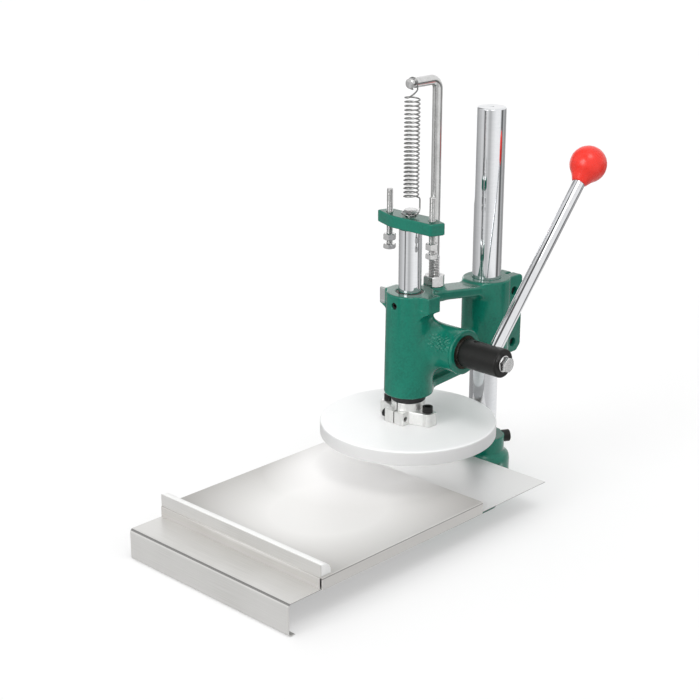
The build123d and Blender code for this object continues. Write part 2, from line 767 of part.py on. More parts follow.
def spring_knots():
    """Points and directions along the spring wire, from the lower eye to the upper hook."""
    radius = (SPRING_DIA - WIRE_DIA) / 2
    tail = math.radians(TAIL_ANGLE)
    knots = []

    def on_circle(angle, height, climb):
        """Point on the coil's circle with its direction, climbing by a slope."""
        point = Vector(radius * math.cos(angle), radius * math.sin(angle), height)
        way = Vector(-math.sin(angle), math.cos(angle), climb).normalized()
        return point, way

    # Lower eye: a tilted ring round the crossbar bolt, lowest in front and shifted to the back
    quarter = math.pi / 2
    front = tail - quarter
    eye = EYE_DIA / 2
    shift = Vector(-math.cos(front), -math.sin(front), 0) * EYE_SHIFT
    for step in EYE_QUARTERS:
        angle = front + quarter * step
        lift = EYE_TILT * (1 - math.cos(angle - front))
        place = Vector(eye * math.cos(angle), eye * math.sin(angle), loop_height + lift)
        way = Vector(-eye * math.sin(angle), eye * math.cos(angle), EYE_TILT * math.sin(angle - front))
        knots.append((place + shift, way.normalized()))
    # Tail: straight up at the side of the coil
    up = Vector(0, 0, 1)
    foot = Vector(eye * math.cos(tail), eye * math.sin(tail), loop_height + TAIL_BEND)
    knots.append((foot, up))
    knots.append((foot + up * (SPRING_TAIL - TAIL_BEND - WIRE_DIA), up))
    # Coil: half turns at a steady climb
    pitch = COIL_LENGTH / SPRING_TURNS
    climb = pitch / (2 * math.pi * radius)
    first = tail + quarter / 2
    last = math.radians(COIL_END_ANGLE)
    whole = math.floor((2 * math.pi * SPRING_TURNS + first - last) / (2 * math.pi))
    sweep_angle = last + 2 * math.pi * whole - first
    halves = math.ceil(sweep_angle / math.pi)
    for i in range(halves + 1):
        part = i / halves
        knots.append(on_circle(first + sweep_angle * part, coil_bottom + COIL_LENGTH * part, climb))
    # Upper hook: up and once round the tip of the post
    hook = POST_GROOVE_DIA / 2 + HOOK_PLAY + WIRE_DIA / 2
    rise = post_height - hook
    side = HOOK_STEP / 2
    knots.append((Vector(hook, side, rise), up))
    for step in range(HOOK_QUARTERS + 1):
        angle = quarter * step
        y = side - HOOK_STEP * step / HOOK_QUARTERS
        place = Vector(hook * math.cos(angle), y, post_height + hook * math.sin(angle))
        knots.append((place, Vector(-math.sin(angle), 0, math.cos(angle))))
    # Both ends run straight for one wire diameter
    first_place, first_way = knots[0]
    last_place, last_way = knots[-1]
    knots.insert(0, (first_place - first_way * WIRE_DIA, first_way))
    knots.append((last_place + last_way * WIRE_DIA, last_way))
    return knots


def least_gap(path, wire_dia):
    """Least clear gap of the wire to itself, measured on points along its path."""
    step = wire_dia / 2
    count = int(path.length / step)
    points = [tuple(path.position_at(i / count)) for i in range(count + 1)]
    skip = int(math.pi * wire_dia * 2 / step)
    least = path.length
    for i, first in enumerate(points):
        for other in points[i + skip:]:
            least = min(least, math.dist(first, other))
    return least - wire_dia


def make_return_spring():
    """Extension spring: eye, tail, coil and hook in one unbroken wire."""
    knots = spring_knots()
    edges = []
    for (start, start_way), (end, end_way) in zip(knots, knots[1:]):
        if start_way.dot(end_way) > 1 - SAME_WAY:
            edges.append(Line(start, end))
        else:
            edges += biarc(start, start_way, end, end_way)
    path = Wire(edges)
    first, way = knots[0]
    print("spring wire", round(path.length, 1), "least gap to itself", round(least_gap(path, WIRE_DIA), 2))
    return sweep(Plane(origin=first, z_dir=way) * Circle(WIRE_DIA / 2), path=path)


def make_ram():
    """Round bar with a rack cut in its back and a tapped hole in its top."""
    bar = rod_z(ram_radius, 0, 0, disc_top + RAM_FOOT_GAP, crossbar_bottom)
    slope = math.tan(math.radians(PRESSURE_ANGLE))
    half_gap = (circular_pitch + BACKLASH) / 4
    past = RAM_DIA
    low = pinion_z - (RACK_TEETH_BELOW + 0.5) * circular_pitch
    high = pinion_z + (RACK_TEETH_ABOVE + 0.5) * circular_pitch
    bar -= block(-past, past, rack_tip, past, low, high)
    for i in range(-RACK_TEETH_BELOW, RACK_TEETH_ABOVE + 1):
        middle = pinion_z + i * circular_pitch
        narrow = half_gap - (rack_pitch_line - rack_root) * slope
        wide = half_gap + (past - rack_pitch_line) * slope
        bar -= side_plate(
            [
                (rack_root, middle - narrow),
                (rack_root, middle + narrow),
                (past, middle + wide),
                (past, middle - wide),
            ],
            past,
        )
    hole_bottom = crossbar_bottom - CROSSBAR_BOLT_GRIP
    return bar - rod_z(CROSSBAR_BOLT_DIA / 2 + SEAT_FIT, 0, 0, hole_bottom, crossbar_bottom)


def make_crossbar():
    """Flat bar across the top of the ram, cut off slantwise at two corners, tapped for the stop bolts."""
    half, tip = CROSSBAR_WIDTH / 2, CROSSBAR_LENGTH / 2
    plan = Polygon(
        (-CROSSBAR_BEVEL_START, -half),
        (CROSSBAR_CORNER_REACH, -half),
        (tip, CROSSBAR_TIP_SHIFT),
        (CROSSBAR_BEVEL_START, half),
        (-CROSSBAR_CORNER_REACH, half),
        (-tip, -CROSSBAR_TIP_SHIFT),
        align=None,
    )
    plan = fillet(plan.vertices(), CROSSBAR_ROUND)
    bar = Pos(0, 0, crossbar_bottom) * extrude(plan, CROSSBAR_THICK)
    bolt_radius = CROSSBAR_BOLT_DIA / 2 + CROSSBAR_BOLT_PLAY
    bar -= rod_z(bolt_radius, 0, 0, crossbar_bottom, crossbar_top)
    for x in stop_places:
        bar -= rod_z(STOP_DIA / 2 + SEAT_FIT, x, 0, crossbar_bottom, crossbar_top)
    return bar


def make_crossbar_bolt():
    """Shouldered bolt that holds the crossbar and carries the eye of the spring."""
    tip = crossbar_bottom - CROSSBAR_BOLT_GRIP + SEAT_FIT
    bolt = rod_z(CROSSBAR_BOLT_DIA / 2, 0, 0, tip, bolt_seat)
    bolt_top = bolt_seat + CROSSBAR_BOLT_HEAD
    return bolt + hex_z(CROSSBAR_BOLT_FLATS, 0, 0, bolt_seat, bolt_top, TAIL_ANGLE)


def make_stop_bolts():
    """Bolts with their heads down, which meet the lugs at the end of the stroke."""
    bolts = []
    for x in stop_places:
        head_top_z = stop_bottom + STOP_HEAD
        bolt = hex_z(STOP_FLATS, x, 0, stop_bottom, head_top_z)
        bolts.append(bolt + rod_z(STOP_DIA / 2, x, 0, head_top_z, crossbar_top + STOP_ABOVE))
    return bolts


def make_stop_nuts():
    """Lock nuts of the stop bolts, under the crossbar."""
    nuts = []
    top = crossbar_bottom - STOP_NUT_DROP
    for x in stop_places:
        nut = hex_z(STOP_FLATS, x, 0, top - STOP_NUT, top)
        nuts.append(nut - rod_z(STOP_DIA / 2 + SEAT_FIT, x, 0, top - STOP_NUT, top))
    return nuts


def make_bumper_ring():
    """Rubber ring that meets the barrel at the top of the stroke."""
    return tube_z(ram_radius + SEAT_FIT, BUMPER_RING_DIA / 2, collar_top, ring_top)


def make_clamp_collar():
    """Split ring with two ears for the disc screws and a clamp block in front."""
    half_length = COLLAR_LENGTH / 2
    half_ear = COLLAR_EAR_WIDTH / 2
    half_waist = COLLAR_WAIST / 2
    half_block = COLLAR_BLOCK_WIDTH / 2
    ear_centre = half_length - half_ear
    flange = make_face(
        Polyline(
            (-ear_centre, -half_ear),
            (-half_block, -half_waist),
            (half_block, -half_waist),
            (ear_centre, -half_ear),
            (ear_centre, half_ear),
            (half_block, half_waist),
            (-half_block, half_waist),
            (-ear_centre, half_ear),
            close=True,
        )
    )
    height = COLLAR_FLANGE_HEIGHT
    collar = Pos(0, 0, disc_top) * extrude(flange, height)
    for side in (-1, 1):
        collar += rod_z(half_ear, side * ear_centre, 0, disc_top, disc_top + height)
    collar += block(-half_block, half_block, -COLLAR_BLOCK_REACH, 0, disc_top, collar_flange_top)
    collar += rod_z(COLLAR_DIA / 2, 0, 0, disc_top, collar_top)
    collar -= rod_z(ram_radius + SEAT_FIT, 0, 0, disc_top, collar_top)
    half_slit = COLLAR_SLIT / 2
    collar -= block(-half_slit, half_slit, -COLLAR_BLOCK_REACH, 0, disc_top, collar_top)
    screw_z = disc_top + height / 2
    radius = COLLAR_SCREW_DIA / 2 + SEAT_FIT
    collar -= rod_x(radius, -half_block, half_block, -COLLAR_SCREW_REACH, screw_z)
    for side in (-1, 1):
        x = side * DISC_SCREW_SPREAD / 2
        collar -= rod_z(DISC_SCREW_DIA / 2 + SEAT_FIT, x, 0, disc_top, collar_flange_top)
    return collar


def make_collar_clamp_screw():
    """Socket head screw across the slit of the collar."""
    half_block = COLLAR_BLOCK_WIDTH / 2
    return cap_screw_x(
        COLLAR_SCREW_DIA,
        COLLAR_SCREW_HEAD,
        COLLAR_SCREW_HEAD_HEIGHT,
        -half_block,
        half_block - COLLAR_SCREW_RECESS,
        -COLLAR_SCREW_REACH,
        disc_top + COLLAR_FLANGE_HEIGHT / 2,
    )


def make_disc_screws():
    """Two socket head screws from the collar's ears into the disc."""
    tip = disc_top - DISC_SCREW_GRIP
    return [
        cap_screw_z(
            DISC_SCREW_DIA,
            DISC_SCREW_HEAD,
            DISC_SCREW_HEAD_HEIGHT,
            side * DISC_SCREW_SPREAD / 2,
            0,
            collar_flange_top,
            tip + SEAT_FIT,
        )
        for side in (-1, 1)
    ]


def make_press_disc():
    """Thick plastic disc with eased edges."""
    disc = rod_z(DISC_DIA / 2, 0, 0, disc_bottom, disc_top)
    disc = fillet(disc.edges().filter_by(GeomType.CIRCLE), DISC_EDGE)
    for side in (-1, 1):
        x = side * DISC_SCREW_SPREAD / 2
        disc -= rod_z(DISC_SCREW_DIA / 2 + SEAT_FIT, x, 0, disc_top - DISC_SCREW_GRIP, disc_top)
    return disc


def pinion_outline():
    """Involute teeth, one of them pointing at the rack."""
    inv = math.tan(math.radians(PRESSURE_ANGLE)) - math.radians(PRESSURE_ANGLE)
    half_tooth = math.pi / (2 * PINION_TEETH) - BACKLASH / (4 * pitch_radius)
    flank = []
    for i in range(FLANK_POINTS):
        radius = base_radius + (tip_radius - base_radius) * i / (FLANK_POINTS - 1)
        angle = math.acos(base_radius / radius)
        flank.append((radius, half_tooth + inv - (math.tan(angle) - angle)))
    flank.insert(0, (root_radius, flank[0][1]))
    points = []
    for tooth in range(PINION_TEETH):
        middle = math.pi + 2 * math.pi * tooth / PINION_TEETH
        rise = [(radius, middle - away) for radius, away in flank]
        fall = [(radius, middle + away) for radius, away in reversed(flank)]
        points += [(radius * math.cos(a), radius * math.sin(a)) for radius, a in rise + fall]
    return make_face(Polyline(*points, close=True))


def make_pinion_shaft():
    """Pinion with a tail journal, a main journal and the keyed seat of the hub."""
    teeth = extrude(Plane.YZ * pinion_outline(), half_pinion, both=True)
    shaft = Pos(0, pinion_y, pinion_z) * teeth
    tail_end = -half_pinion - PINION_SIDE_PLAY - TAIL_BUSH_LENGTH + GLIDE_PLAY
    shaft += rod_x(TAIL_DIA / 2, tail_end, -half_pinion, pinion_y, pinion_z)
    shaft += rod_x(JOURNAL_DIA / 2, half_pinion, washer_left + WASHER_THICK, pinion_y, pinion_z)
    seat_end = hub_left + HUB_SEAT_LENGTH
    shaft += rod_x(HUB_SEAT_DIA / 2, washer_left, seat_end, pinion_y, pinion_z)
    return shaft - make_shaft_key()


def make_shaft_key():
    """Square key on top of the hub seat."""
    left = hub_left + (HUB_SEAT_LENGTH - KEY_LENGTH) / 2
    middle = pinion_z + HUB_SEAT_DIA / 2
    half = KEY_SIZE / 2
    return block(left, left + KEY_LENGTH, pinion_y - half, pinion_y + half, middle - half, middle + half)


def make_outer_pinion_bush():
    """Thick bush that fills the boss from its mouth to the pinion."""
    left = half_pinion + PINION_SIDE_PLAY
    bush = rod_x(pinion_bore_radius - SEAT_FIT, left, BOSS_RIGHT, pinion_y, pinion_z)
    bush -= rod_x(JOURNAL_DIA / 2 + RUN_FIT, left, BOSS_RIGHT, pinion_y, pinion_z)
    return bush - rod_z(ram_radius + RUN_FIT, 0, 0, head_bottom, head_top)


def make_inner_pinion_bush():
    """Small bush of the tail journal."""
    right = -half_pinion - PINION_SIDE_PLAY
    left = right - TAIL_BUSH_LENGTH
    inner = TAIL_DIA / 2 + RUN_FIT
    bush = rod_x(inner + TAIL_BUSH_WALL, left, right, pinion_y, pinion_z)
    return bush - rod_x(inner, left, right, pinion_y, pinion_z)


def make_thrust_washer():
    """Washer between the boss and the hub."""
    right = washer_left + WASHER_THICK
    washer = rod_x(WASHER_DIA / 2, washer_left, right, pinion_y, pinion_z)
    return washer - rod_x(JOURNAL_DIA / 2 + SEAT_FIT, washer_left, right, pinion_y, pinion_z)


def hub_grub_rod(radius, start, end):
    """Cylinder on the grub screw's axis, square to the shaft above the key."""
    return rod_z(radius, hub_left + HUB_GRUB_PLACE, pinion_y, pinion_z + start, pinion_z + end)


def make_lever_hub():
    """Black hub: keyed bore, cross hole for the lever and a tapped end."""
    hub_radius = HUB_DIA / 2
    hub = rod_x(hub_radius, hub_left, hub_right, pinion_y, pinion_z)
    hub = chamfer(hub.edges().filter_by(GeomType.CIRCLE), HUB_CHAMFER)
    seat_end = hub_left + HUB_SEAT_LENGTH + GLIDE_PLAY
    hub -= rod_x(HUB_SEAT_DIA / 2 + SEAT_FIT, hub_left, seat_end, pinion_y, pinion_z)
    hub -= make_shaft_key()
    hub -= rail_rod(LEVER_DIA / 2 + SEAT_FIT, -LEVER_FOOT, HUB_DIA)
    hub -= rod_x(LOCK_BOLT_DIA / 2 + SEAT_FIT, lever_x, hub_right, pinion_y, pinion_z)
    hub -= hub_grub_rod(HUB_GRUB_DIA / 2 + SEAT_FIT, 0, HUB_DIA)
    return hub


def make_hub_grub_screw():
    """Grub screw that presses on the key."""
    bottom = HUB_SEAT_DIA / 2 + KEY_SIZE / 2
    return hub_grub_rod(HUB_GRUB_DIA / 2, bottom, HUB_DIA / 2 - HUB_GRUB_RECESS)


def make_lever_lock_bolt():
    """Bolt in the end of the hub that clamps the lever in its hole."""
    tip = lever_x + LEVER_DIA / 2 + SEAT_FIT
    collar_end = hub_right + LOCK_BOLT_COLLAR
    bolt = rod_x(LOCK_BOLT_DIA / 2, tip, hub_right, pinion_y, pinion_z)
    bolt += rod_x(LOCK_BOLT_COLLAR_DIA / 2, hub_right, collar_end, pinion_y, pinion_z)
    head = extrude(Plane.YZ * RegularPolygon(LOCK_BOLT_FLATS / 2, 6, major_radius=False), LOCK_BOLT_HEAD)
    return bolt + Pos(collar_end, pinion_y, pinion_z) * head


def make_lever_rod():
    """Straight round lever from the hub into the knob."""
    return rail_rod(LEVER_DIA / 2, -LEVER_FOOT + SEAT_FIT, LEVER_REACH)


def make_ball_knob():
    """Ball with a short conical neck where the lever enters."""
    centre = lever_origin + lever_axis * LEVER_REACH
    knob = Pos(*centre) * Sphere(KNOB_DIA / 2)
    neck_length = KNOB_NECK_REACH - KNOB_NECK_BASE
    neck_middle = LEVER_REACH - KNOB_NECK_BASE - neck_length / 2
    place = Plane(origin=lever_origin + lever_axis * neck_middle, z_dir=lever_axis)
    knob += place * Cone(KNOB_NECK_DIA / 2, KNOB_NECK_BASE_DIA / 2, neck_length)
    bore_start = LEVER_REACH - KNOB_NECK_REACH
    return knob - rail_rod(LEVER_DIA / 2 + SEAT_FIT, bore_start, bore_start + KNOB_BORE_DEPTH)


PIECES = {
    "base_casting": make_base_casting(),
    "column": make_column(),
    "base_clamp_screw": make_base_clamp_screw(),
    "tray_sheet": make_tray_sheet(),
    "tray_screws": make_tray_screws(),
    "head_casting": make_head_casting(),
    "head_clamp_screws": make_head_clamp_screws(),
    "upper_ram_bush": make_upper_ram_bush(),
    "lower_ram_bush": make_ram_bush(head_bottom + BUSH_INSET),
    "guide_screw": make_guide_screw(),
    "spring_post": make_spring_post(),
    "post_nut": make_post_nut(),
    "return_spring": make_return_spring(),
    "outer_pinion_bush": make_outer_pinion_bush(),
    "inner_pinion_bush": make_inner_pinion_bush(),
    "ram": make_ram(),
    "crossbar": make_crossbar(),
    "crossbar_bolt": make_crossbar_bolt(),
    "stop_bolts": make_stop_bolts(),
    "stop_nuts": make_stop_nuts(),
    "bumper_ring": make_bumper_ring(),
    "clamp_collar": make_clamp_collar(),
    "collar_clamp_screw": make_collar_clamp_screw(),
    "disc_screws": make_disc_screws(),
    "press_disc": make_press_disc(),
    "pinion_shaft": make_pinion_shaft(),
    "shaft_key": make_shaft_key(),
    "thrust_washer": make_thrust_washer(),
    "lever_hub": make_lever_hub(),
    "hub_grub_screw": make_hub_grub_screw(),
    "lever_lock_bolt": make_lever_lock_bolt(),
    "lever_rod": make_lever_rod(),
    "ball_knob": make_ball_knob(),
    "work_plate": make_work_plate(),
    "fence_strip": make_fence_strip(),
    "fence_bumper": make_fence_bumper(),
    "fence_screws": make_fence_screws(),
    "left_glide_rail": make_glide_rail(-1),
    "right_glide_rail": make_glide_rail(1),
}

os.makedirs("parts", exist_ok=True)
for name, piece in PIECES.items():
    shape = Compound(children=piece) if isinstance(piece, list) else piece
    export_step(shape, f"parts/{name}.step")
print("stroke", round(stroke, 2), "pinion at", round(pinion_y, 2), round(pinion_z, 2))
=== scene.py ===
"""Looks of a hand-operated dough press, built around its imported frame.

All sizes are millimetres in the press's own frame: the origin lies on the bench straight below the
middle of the press disc, +Z points up, +Y to the column and +X to the lever. Meshes are written in
metres, each object at the origin with its place in its mesh.
"""

from __future__ import annotations

import json
import logging
import math
from dataclasses import dataclass, field
from enum import Enum
from typing import Any, Callable, Sequence

import bpy
import numpy as np
from mathutils import Matrix

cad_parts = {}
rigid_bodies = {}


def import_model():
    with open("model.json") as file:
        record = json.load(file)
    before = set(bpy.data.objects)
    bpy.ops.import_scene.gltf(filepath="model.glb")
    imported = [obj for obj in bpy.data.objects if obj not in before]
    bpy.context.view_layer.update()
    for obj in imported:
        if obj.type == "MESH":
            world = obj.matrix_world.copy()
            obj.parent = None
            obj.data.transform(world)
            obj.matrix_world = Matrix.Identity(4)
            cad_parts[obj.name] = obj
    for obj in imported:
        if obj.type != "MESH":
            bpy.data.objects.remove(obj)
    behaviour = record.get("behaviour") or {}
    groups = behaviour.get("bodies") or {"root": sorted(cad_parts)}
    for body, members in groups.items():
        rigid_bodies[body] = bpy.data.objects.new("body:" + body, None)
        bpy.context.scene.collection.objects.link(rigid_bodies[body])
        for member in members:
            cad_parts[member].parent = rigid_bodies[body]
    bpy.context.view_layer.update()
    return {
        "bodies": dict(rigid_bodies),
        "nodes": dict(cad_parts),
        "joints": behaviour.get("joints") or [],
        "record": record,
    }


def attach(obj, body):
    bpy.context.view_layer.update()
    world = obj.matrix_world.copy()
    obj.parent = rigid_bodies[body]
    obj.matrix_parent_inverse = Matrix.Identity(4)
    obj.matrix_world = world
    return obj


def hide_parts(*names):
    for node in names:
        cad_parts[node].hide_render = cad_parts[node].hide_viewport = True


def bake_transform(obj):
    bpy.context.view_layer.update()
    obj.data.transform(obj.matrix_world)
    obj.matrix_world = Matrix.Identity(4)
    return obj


log = logging.getLogger("dough_press")
Array = np.ndarray
Field = Callable[[Array], Array]
Span = tuple[float, float]
Spot = tuple[float, float, float]
Stops = tuple[tuple[float, float], ...]
Tree = bpy.types.NodeTree
Socket = bpy.types.NodeSocket
MM = 0.001
FULL_TURN = 2 * math.pi
SIXTH = math.pi / 3

# Places and fits that several pieces share

COLUMN_Y = 147.5
COLUMN_RADIUS = 18.45
PINION_Y = 28.5
PINION_Z = 216.0
TRAY_TOP = 40.0
PLATE_HALF = 135.5
PLATE_TOP = 53.5
SHEET = 1.2
BORE_GAP = 0.05
TOOL_EDGE = 0.2


# Meshes


@dataclass
class Shell:
    """Points and faces of a closed surface, in millimetres.

    Attributes:
        points: Points, one row each.
        quads: Corners of the four-sided faces.
        tris: Corners of the three-sided faces.
        normals: Directions of the true surface at the points, if they are known.
        marks: Named values at the points, for the materials.
    """

    points: Array
    quads: Array
    tris: Array = field(default_factory=lambda: np.empty((0, 3), dtype=int))
    normals: Array | None = None
    marks: dict[str, Array] = field(default_factory=dict)

    def volume(self) -> float:
        """Adds up the volume inside the faces.

        Returns:
            The volume, negative where the faces point inwards.
        """
        halves = [self.quads[:, [0, 1, 2]], self.quads[:, [0, 2, 3]], self.tris]
        a, b, c = np.moveaxis(self.points[np.concatenate(halves)], 1, 0)
        return float(np.einsum("ij,ij->", a, np.cross(b, c))) / 6

    def outward(self) -> Shell:
        """Turns the faces outwards where they point inwards.

        Returns:
            The same surface.
        """
        if self.volume() < 0:
            self.quads = self.quads[:, ::-1]
            self.tris = self.tris[:, ::-1]
        return self


def joined(shells: Sequence[Shell]) -> Shell:
    """Puts several closed surfaces into one, each pointing outwards.

    Args:
        shells: The surfaces.

    Returns:
        One surface with all their points and faces.
    """
    parts = [shell.outward() for shell in shells]
    starts = np.cumsum([0] + [len(part.points) for part in parts[:-1]])
    return Shell(
        np.concatenate([part.points for part in parts]),
        np.concatenate([part.quads + start for part, start in zip(parts, starts)]),
        np.concatenate([part.tris + start for part, start in zip(parts, starts)]),
    )


def round_angles(columns: int) -> Array:
    """Angles of so many columns, spread evenly round an axis."""
    return np.arange(columns) * (FULL_TURN / columns)


def ring_quads(index: Array) -> Array:
    """Corners of the quads that join each ring of a grid of point numbers to the next."""
    ahead = np.roll(index, -1, axis=1)
    return np.stack([index[:-1], ahead[:-1], ahead[1:], index[1:]], axis=-1).reshape(-1, 4)


def grid_shell(points: Array, hollow: bool = False) -> Shell:
    """Skin over a grid of points whose rows are rings.

    Each ring joins the next by quads. A hollow skin joins its last ring to its first, as a tyre
    does; any other is closed at both ends by a fan to the middle of the end ring.

    Args:
        points: Points by row, column and coordinate.
        hollow: Whether the rows close on themselves.

    Returns:
        The closed surface.
    """
    rows, columns = points.shape[:2]
    index = np.arange(rows * columns).reshape(rows, columns)
    flat = points.reshape(-1, 3)
    if hollow:
        return Shell(flat, ring_quads(np.concatenate([index, index[:1]])))
    ahead = np.roll(index, -1, axis=1)
    pole = np.full(columns, rows * columns)
    first = np.stack([ahead[0], index[0], pole], axis=-1)
    last = np.stack([index[-1], ahead[-1], pole + 1], axis=-1)
    poles = np.stack([points[0].mean(axis=0), points[-1].mean(axis=0)])
    return Shell(np.concatenate([flat, poles]), ring_quads(index), np.concatenate([first, last]))


def polar_shell(radii: Array, heights: Array, hollow: bool = False) -> Shell:
    """Skin at radius r(row, angle) and height z(row) round the Z axis.

    Args:
        radii: Radius by row and column, the columns spread evenly round the axis.
        heights: Height of each row.
        hollow: Whether the rows close on themselves.

    Returns:
        The closed surface.
    """
    angles = round_angles(radii.shape[1])
    heights = np.broadcast_to(np.asarray(heights, float)[:, None], radii.shape)
    return grid_shell(np.stack([radii * np.cos(angles), radii * np.sin(angles), heights], axis=-1), hollow)


def soft_corners(corners: Sequence[Span], radii: Sequence[float], steps: int = 6) -> Array:
    """Polyline with its inner corners rounded by arcs.

    At a corner with directions u and v to its neighbours and an angle f between them, the arc's
    centre lies along u + v at r / sin(f / 2), and its ends lie r / tan(f / 2) along u and v.

    Args:
        corners: Corner points of an open line.
        radii: Radius at each inner corner, in order.
        steps: Pieces per arc.

    Returns:
        Points of the rounded line.
    """
    line, least = np.asarray(corners, float), 1e-4
    before, here, after = line[:-2], line[1:-1], line[2:]
    u, v = unit(before - here), unit(after - here)
    opening = np.arccos(np.clip((u * v).sum(axis=1), -1, 1))
    size = np.maximum(np.asarray(radii, float), least)
    reach = (size / np.tan(opening / 2))[:, None]
    centre = here + unit(u + v) * (size / np.sin(opening / 2))[:, None]
    sweep = (math.pi - opening)[:, None, None]
    share = np.linspace(0, 1, steps + 1)[None, :, None]
    start, end = (here + u * reach - centre)[:, None], (here + v * reach - centre)[:, None]
    arcs = (np.sin((1 - share) * sweep) * start + np.sin(share * sweep) * end) / np.sin(sweep)
    return np.concatenate([line[:1], (centre[:, None] + arcs).reshape(-1, 2), line[-1:]])


def turned(profile: Array, columns: int = 96, hollow: bool = False) -> Shell:
    """Lathe work: a profile of (radius, height) points carried round the Z axis."""
    return polar_shell(np.repeat(profile[:, :1], columns, axis=1), profile[:, 1], hollow)


class Form(Enum):
    """Outline of a ring round an axis."""

    ROUND = "round"
    HEX = "hexagon"
    KNURL = "knurled"


@dataclass(frozen=True)
class Ring:
    """One ring of a screw, nut or bolt.

    Attributes:
        height: Place along the axis.
        radius: Radius, or half the width across flats of a hexagon.
        form: Outline.
        limit: Radius of the cone that cuts a hexagon's corners here.
        ridges: Ridges of a knurl.
        ridge_depth: Depth between them.
    """

    height: float
    radius: float
    form: Form = Form.ROUND
    limit: float = math.inf
    ridges: int = 30
    ridge_depth: float = 0.22

    def radii(self, angles: Array) -> Array:
        """Gives the radius at each angle.

        A hexagon's radius is the half width over the cosine of the angle from its nearest flat,
        cut by the limit. A knurl is a circle less a cosine wave.

        Args:
            angles: Angles round the axis.

        Returns:
            The radii.
        """
        if self.form is Form.HEX:
            from_flat = (angles + SIXTH / 2) % SIXTH - SIXTH / 2
            return np.minimum(self.radius / np.cos(from_flat), self.limit)
        if self.form is Form.KNURL:
            return self.radius - self.ridge_depth * (0.5 - 0.5 * np.cos(self.ridges * angles))
        return np.full_like(angles, self.radius)


def ring_shell(rings: Sequence[Ring], columns: int = 48, hollow: bool = False) -> Shell:
    """Skin over a row of rings; its columns are a multiple of 12, which meets the corners of hexagons."""
    radii = np.stack([ring.radii(round_angles(columns)) for ring in rings])
    return polar_shell(radii, np.array([ring.height for ring in rings]), hollow)


def hex_rings(flats: float, low: float, high: float, cut_low: bool = True) -> list[Ring]:
    """Rings of a hexagon whose corners a 30 degree cone cuts at its faces.

    Args:
        flats: Width across flats.
        low: Lower face.
        high: Upper face.
        cut_low: Whether the lower corners are cut too.

    Returns:
        The rings from low to high.
    """
    half, face_share = flats / 2, 0.95
    corner, face = half / math.cos(SIXTH / 2), face_share * half
    drop = (corner - face) * math.tan(SIXTH / 2)
    cuts = [(drop * s, face + (corner - face) * s) for s in np.linspace(0, 1, 6)]
    lower = [Ring(low + depth, half, Form.HEX, limit) for depth, limit in cuts]
    upper = [Ring(high - depth, half, Form.HEX, limit) for depth, limit in reversed(cuts)]
    return (lower if cut_low else [Ring(low, half, Form.HEX)]) + upper


def nut_shell(flats: float, hole: float, low: float, high: float) -> Shell:
    """Hexagon nut with a chamfered hole.

    Args:
        flats: Width across flats.
        hole: Diameter of the hole.
        low: Lower face.
        high: Upper face.

    Returns:
        The closed surface.
    """
    inner, bevel = hole / 2, 0.09 * hole
    wide = inner + bevel
    wall = [Ring(high, wide), Ring(high - bevel, inner), Ring(low + bevel, inner), Ring(low, wide)]
    return ring_shell(hex_rings(flats, low, high) + wall, 72, hollow=True)


def thread_radii(angles: Array, heights: Array, dia: float, pitch: float) -> Array:
    """Radius of a screw thread: the outer radius less the depth times a clipped triangle wave.

    The wave's phase is height over pitch less the share of a turn, so its crest climbs as a helix.

    Args:
        angles: Angles round the axis.
        heights: Heights along it.
        dia: Outer diameter.
        pitch: Climb of one turn.

    Returns:
        Radii by height and angle.
    """
    depth, flat = 0.54 * pitch, 0.125
    turn = heights[:, None] / pitch - angles[None, :] / FULL_TURN
    wave = np.abs(2 * (turn % 1.0) - 1)
    return dia / 2 - depth * np.clip((1 + 2 * flat) * wave - flat, 0, 1)


def thread_shell(dia: float, pitch: float, low: float, high: float) -> Shell:
    """Threaded rod with coned ends.

    Args:
        dia: Outer diameter.
        pitch: Climb of one turn.
        low: Lower end.
        high: Upper end.

    Returns:
        The closed surface.
    """
    columns, rows_per_turn = 36, 7
    heights = np.linspace(low, high, int((high - low) / pitch * rows_per_turn) + 1)
    core = dia / 2 - 0.6 * pitch
    cone = core + np.minimum(heights - low, high - heights)
    radii = thread_radii(round_angles(columns), heights, dia, pitch)
    return polar_shell(np.minimum(radii, cone[:, None]), heights)


@dataclass(frozen=True)
class CapScrew:
    """Socket head screw of a standard size, its head as high as its shank is thick.

    Attributes:
        dia: Shank diameter.
        head: Head diameter.
        key_share: Half the key's width over the head's diameter.
        floor_share: Height of the socket's floor over the head's height.
        bevel_share: Bevel of the head over its radius.
    """

    dia: float
    head: float
    key_share: float = 0.29
    floor_share: float = 0.42
    bevel_share: float = 0.1

    def shell(self, length: float) -> Shell:
        """Screw along Z with the head's underside at zero and the shank below.

        Rings run from the floor of the hexagon socket up its wall, over the bevelled top, down the
        knurled side and along the shank to its tip.

        Args:
            length: Shank length.

        Returns:
            The closed surface.
        """
        outer, shank, top = self.head / 2, self.dia / 2, self.dia
        key, bevel = self.key_share * self.head, self.bevel_share * outer
        soft, point = 0.3 * bevel, 0.1 * self.dia
        rings = [
            Ring(self.floor_share * top, key, Form.HEX),
            Ring(top - bevel, key, Form.HEX),
            Ring(top, key / math.cos(SIXTH / 2) + bevel / 2),
            Ring(top, outer - bevel),
            Ring(top - soft, outer - soft),
            Ring(top - bevel, outer),
            Ring(top - 1.4 * bevel, outer, Form.KNURL),
            Ring(1.2 * bevel, outer, Form.KNURL),
            Ring(0.8 * bevel, outer),
            Ring(soft, outer),
            Ring(0.0, outer - soft),
            Ring(0.0, shank),
            Ring(-length + point, shank),
            Ring(-length, shank - point),
        ]
        return ring_shell(rings, 120)


CAP_M6 = CapScrew(6.0, 10.0)
CAP_M8 = CapScrew(8.0, 13.0)
CAP_M10 = CapScrew(10.0, 16.0)


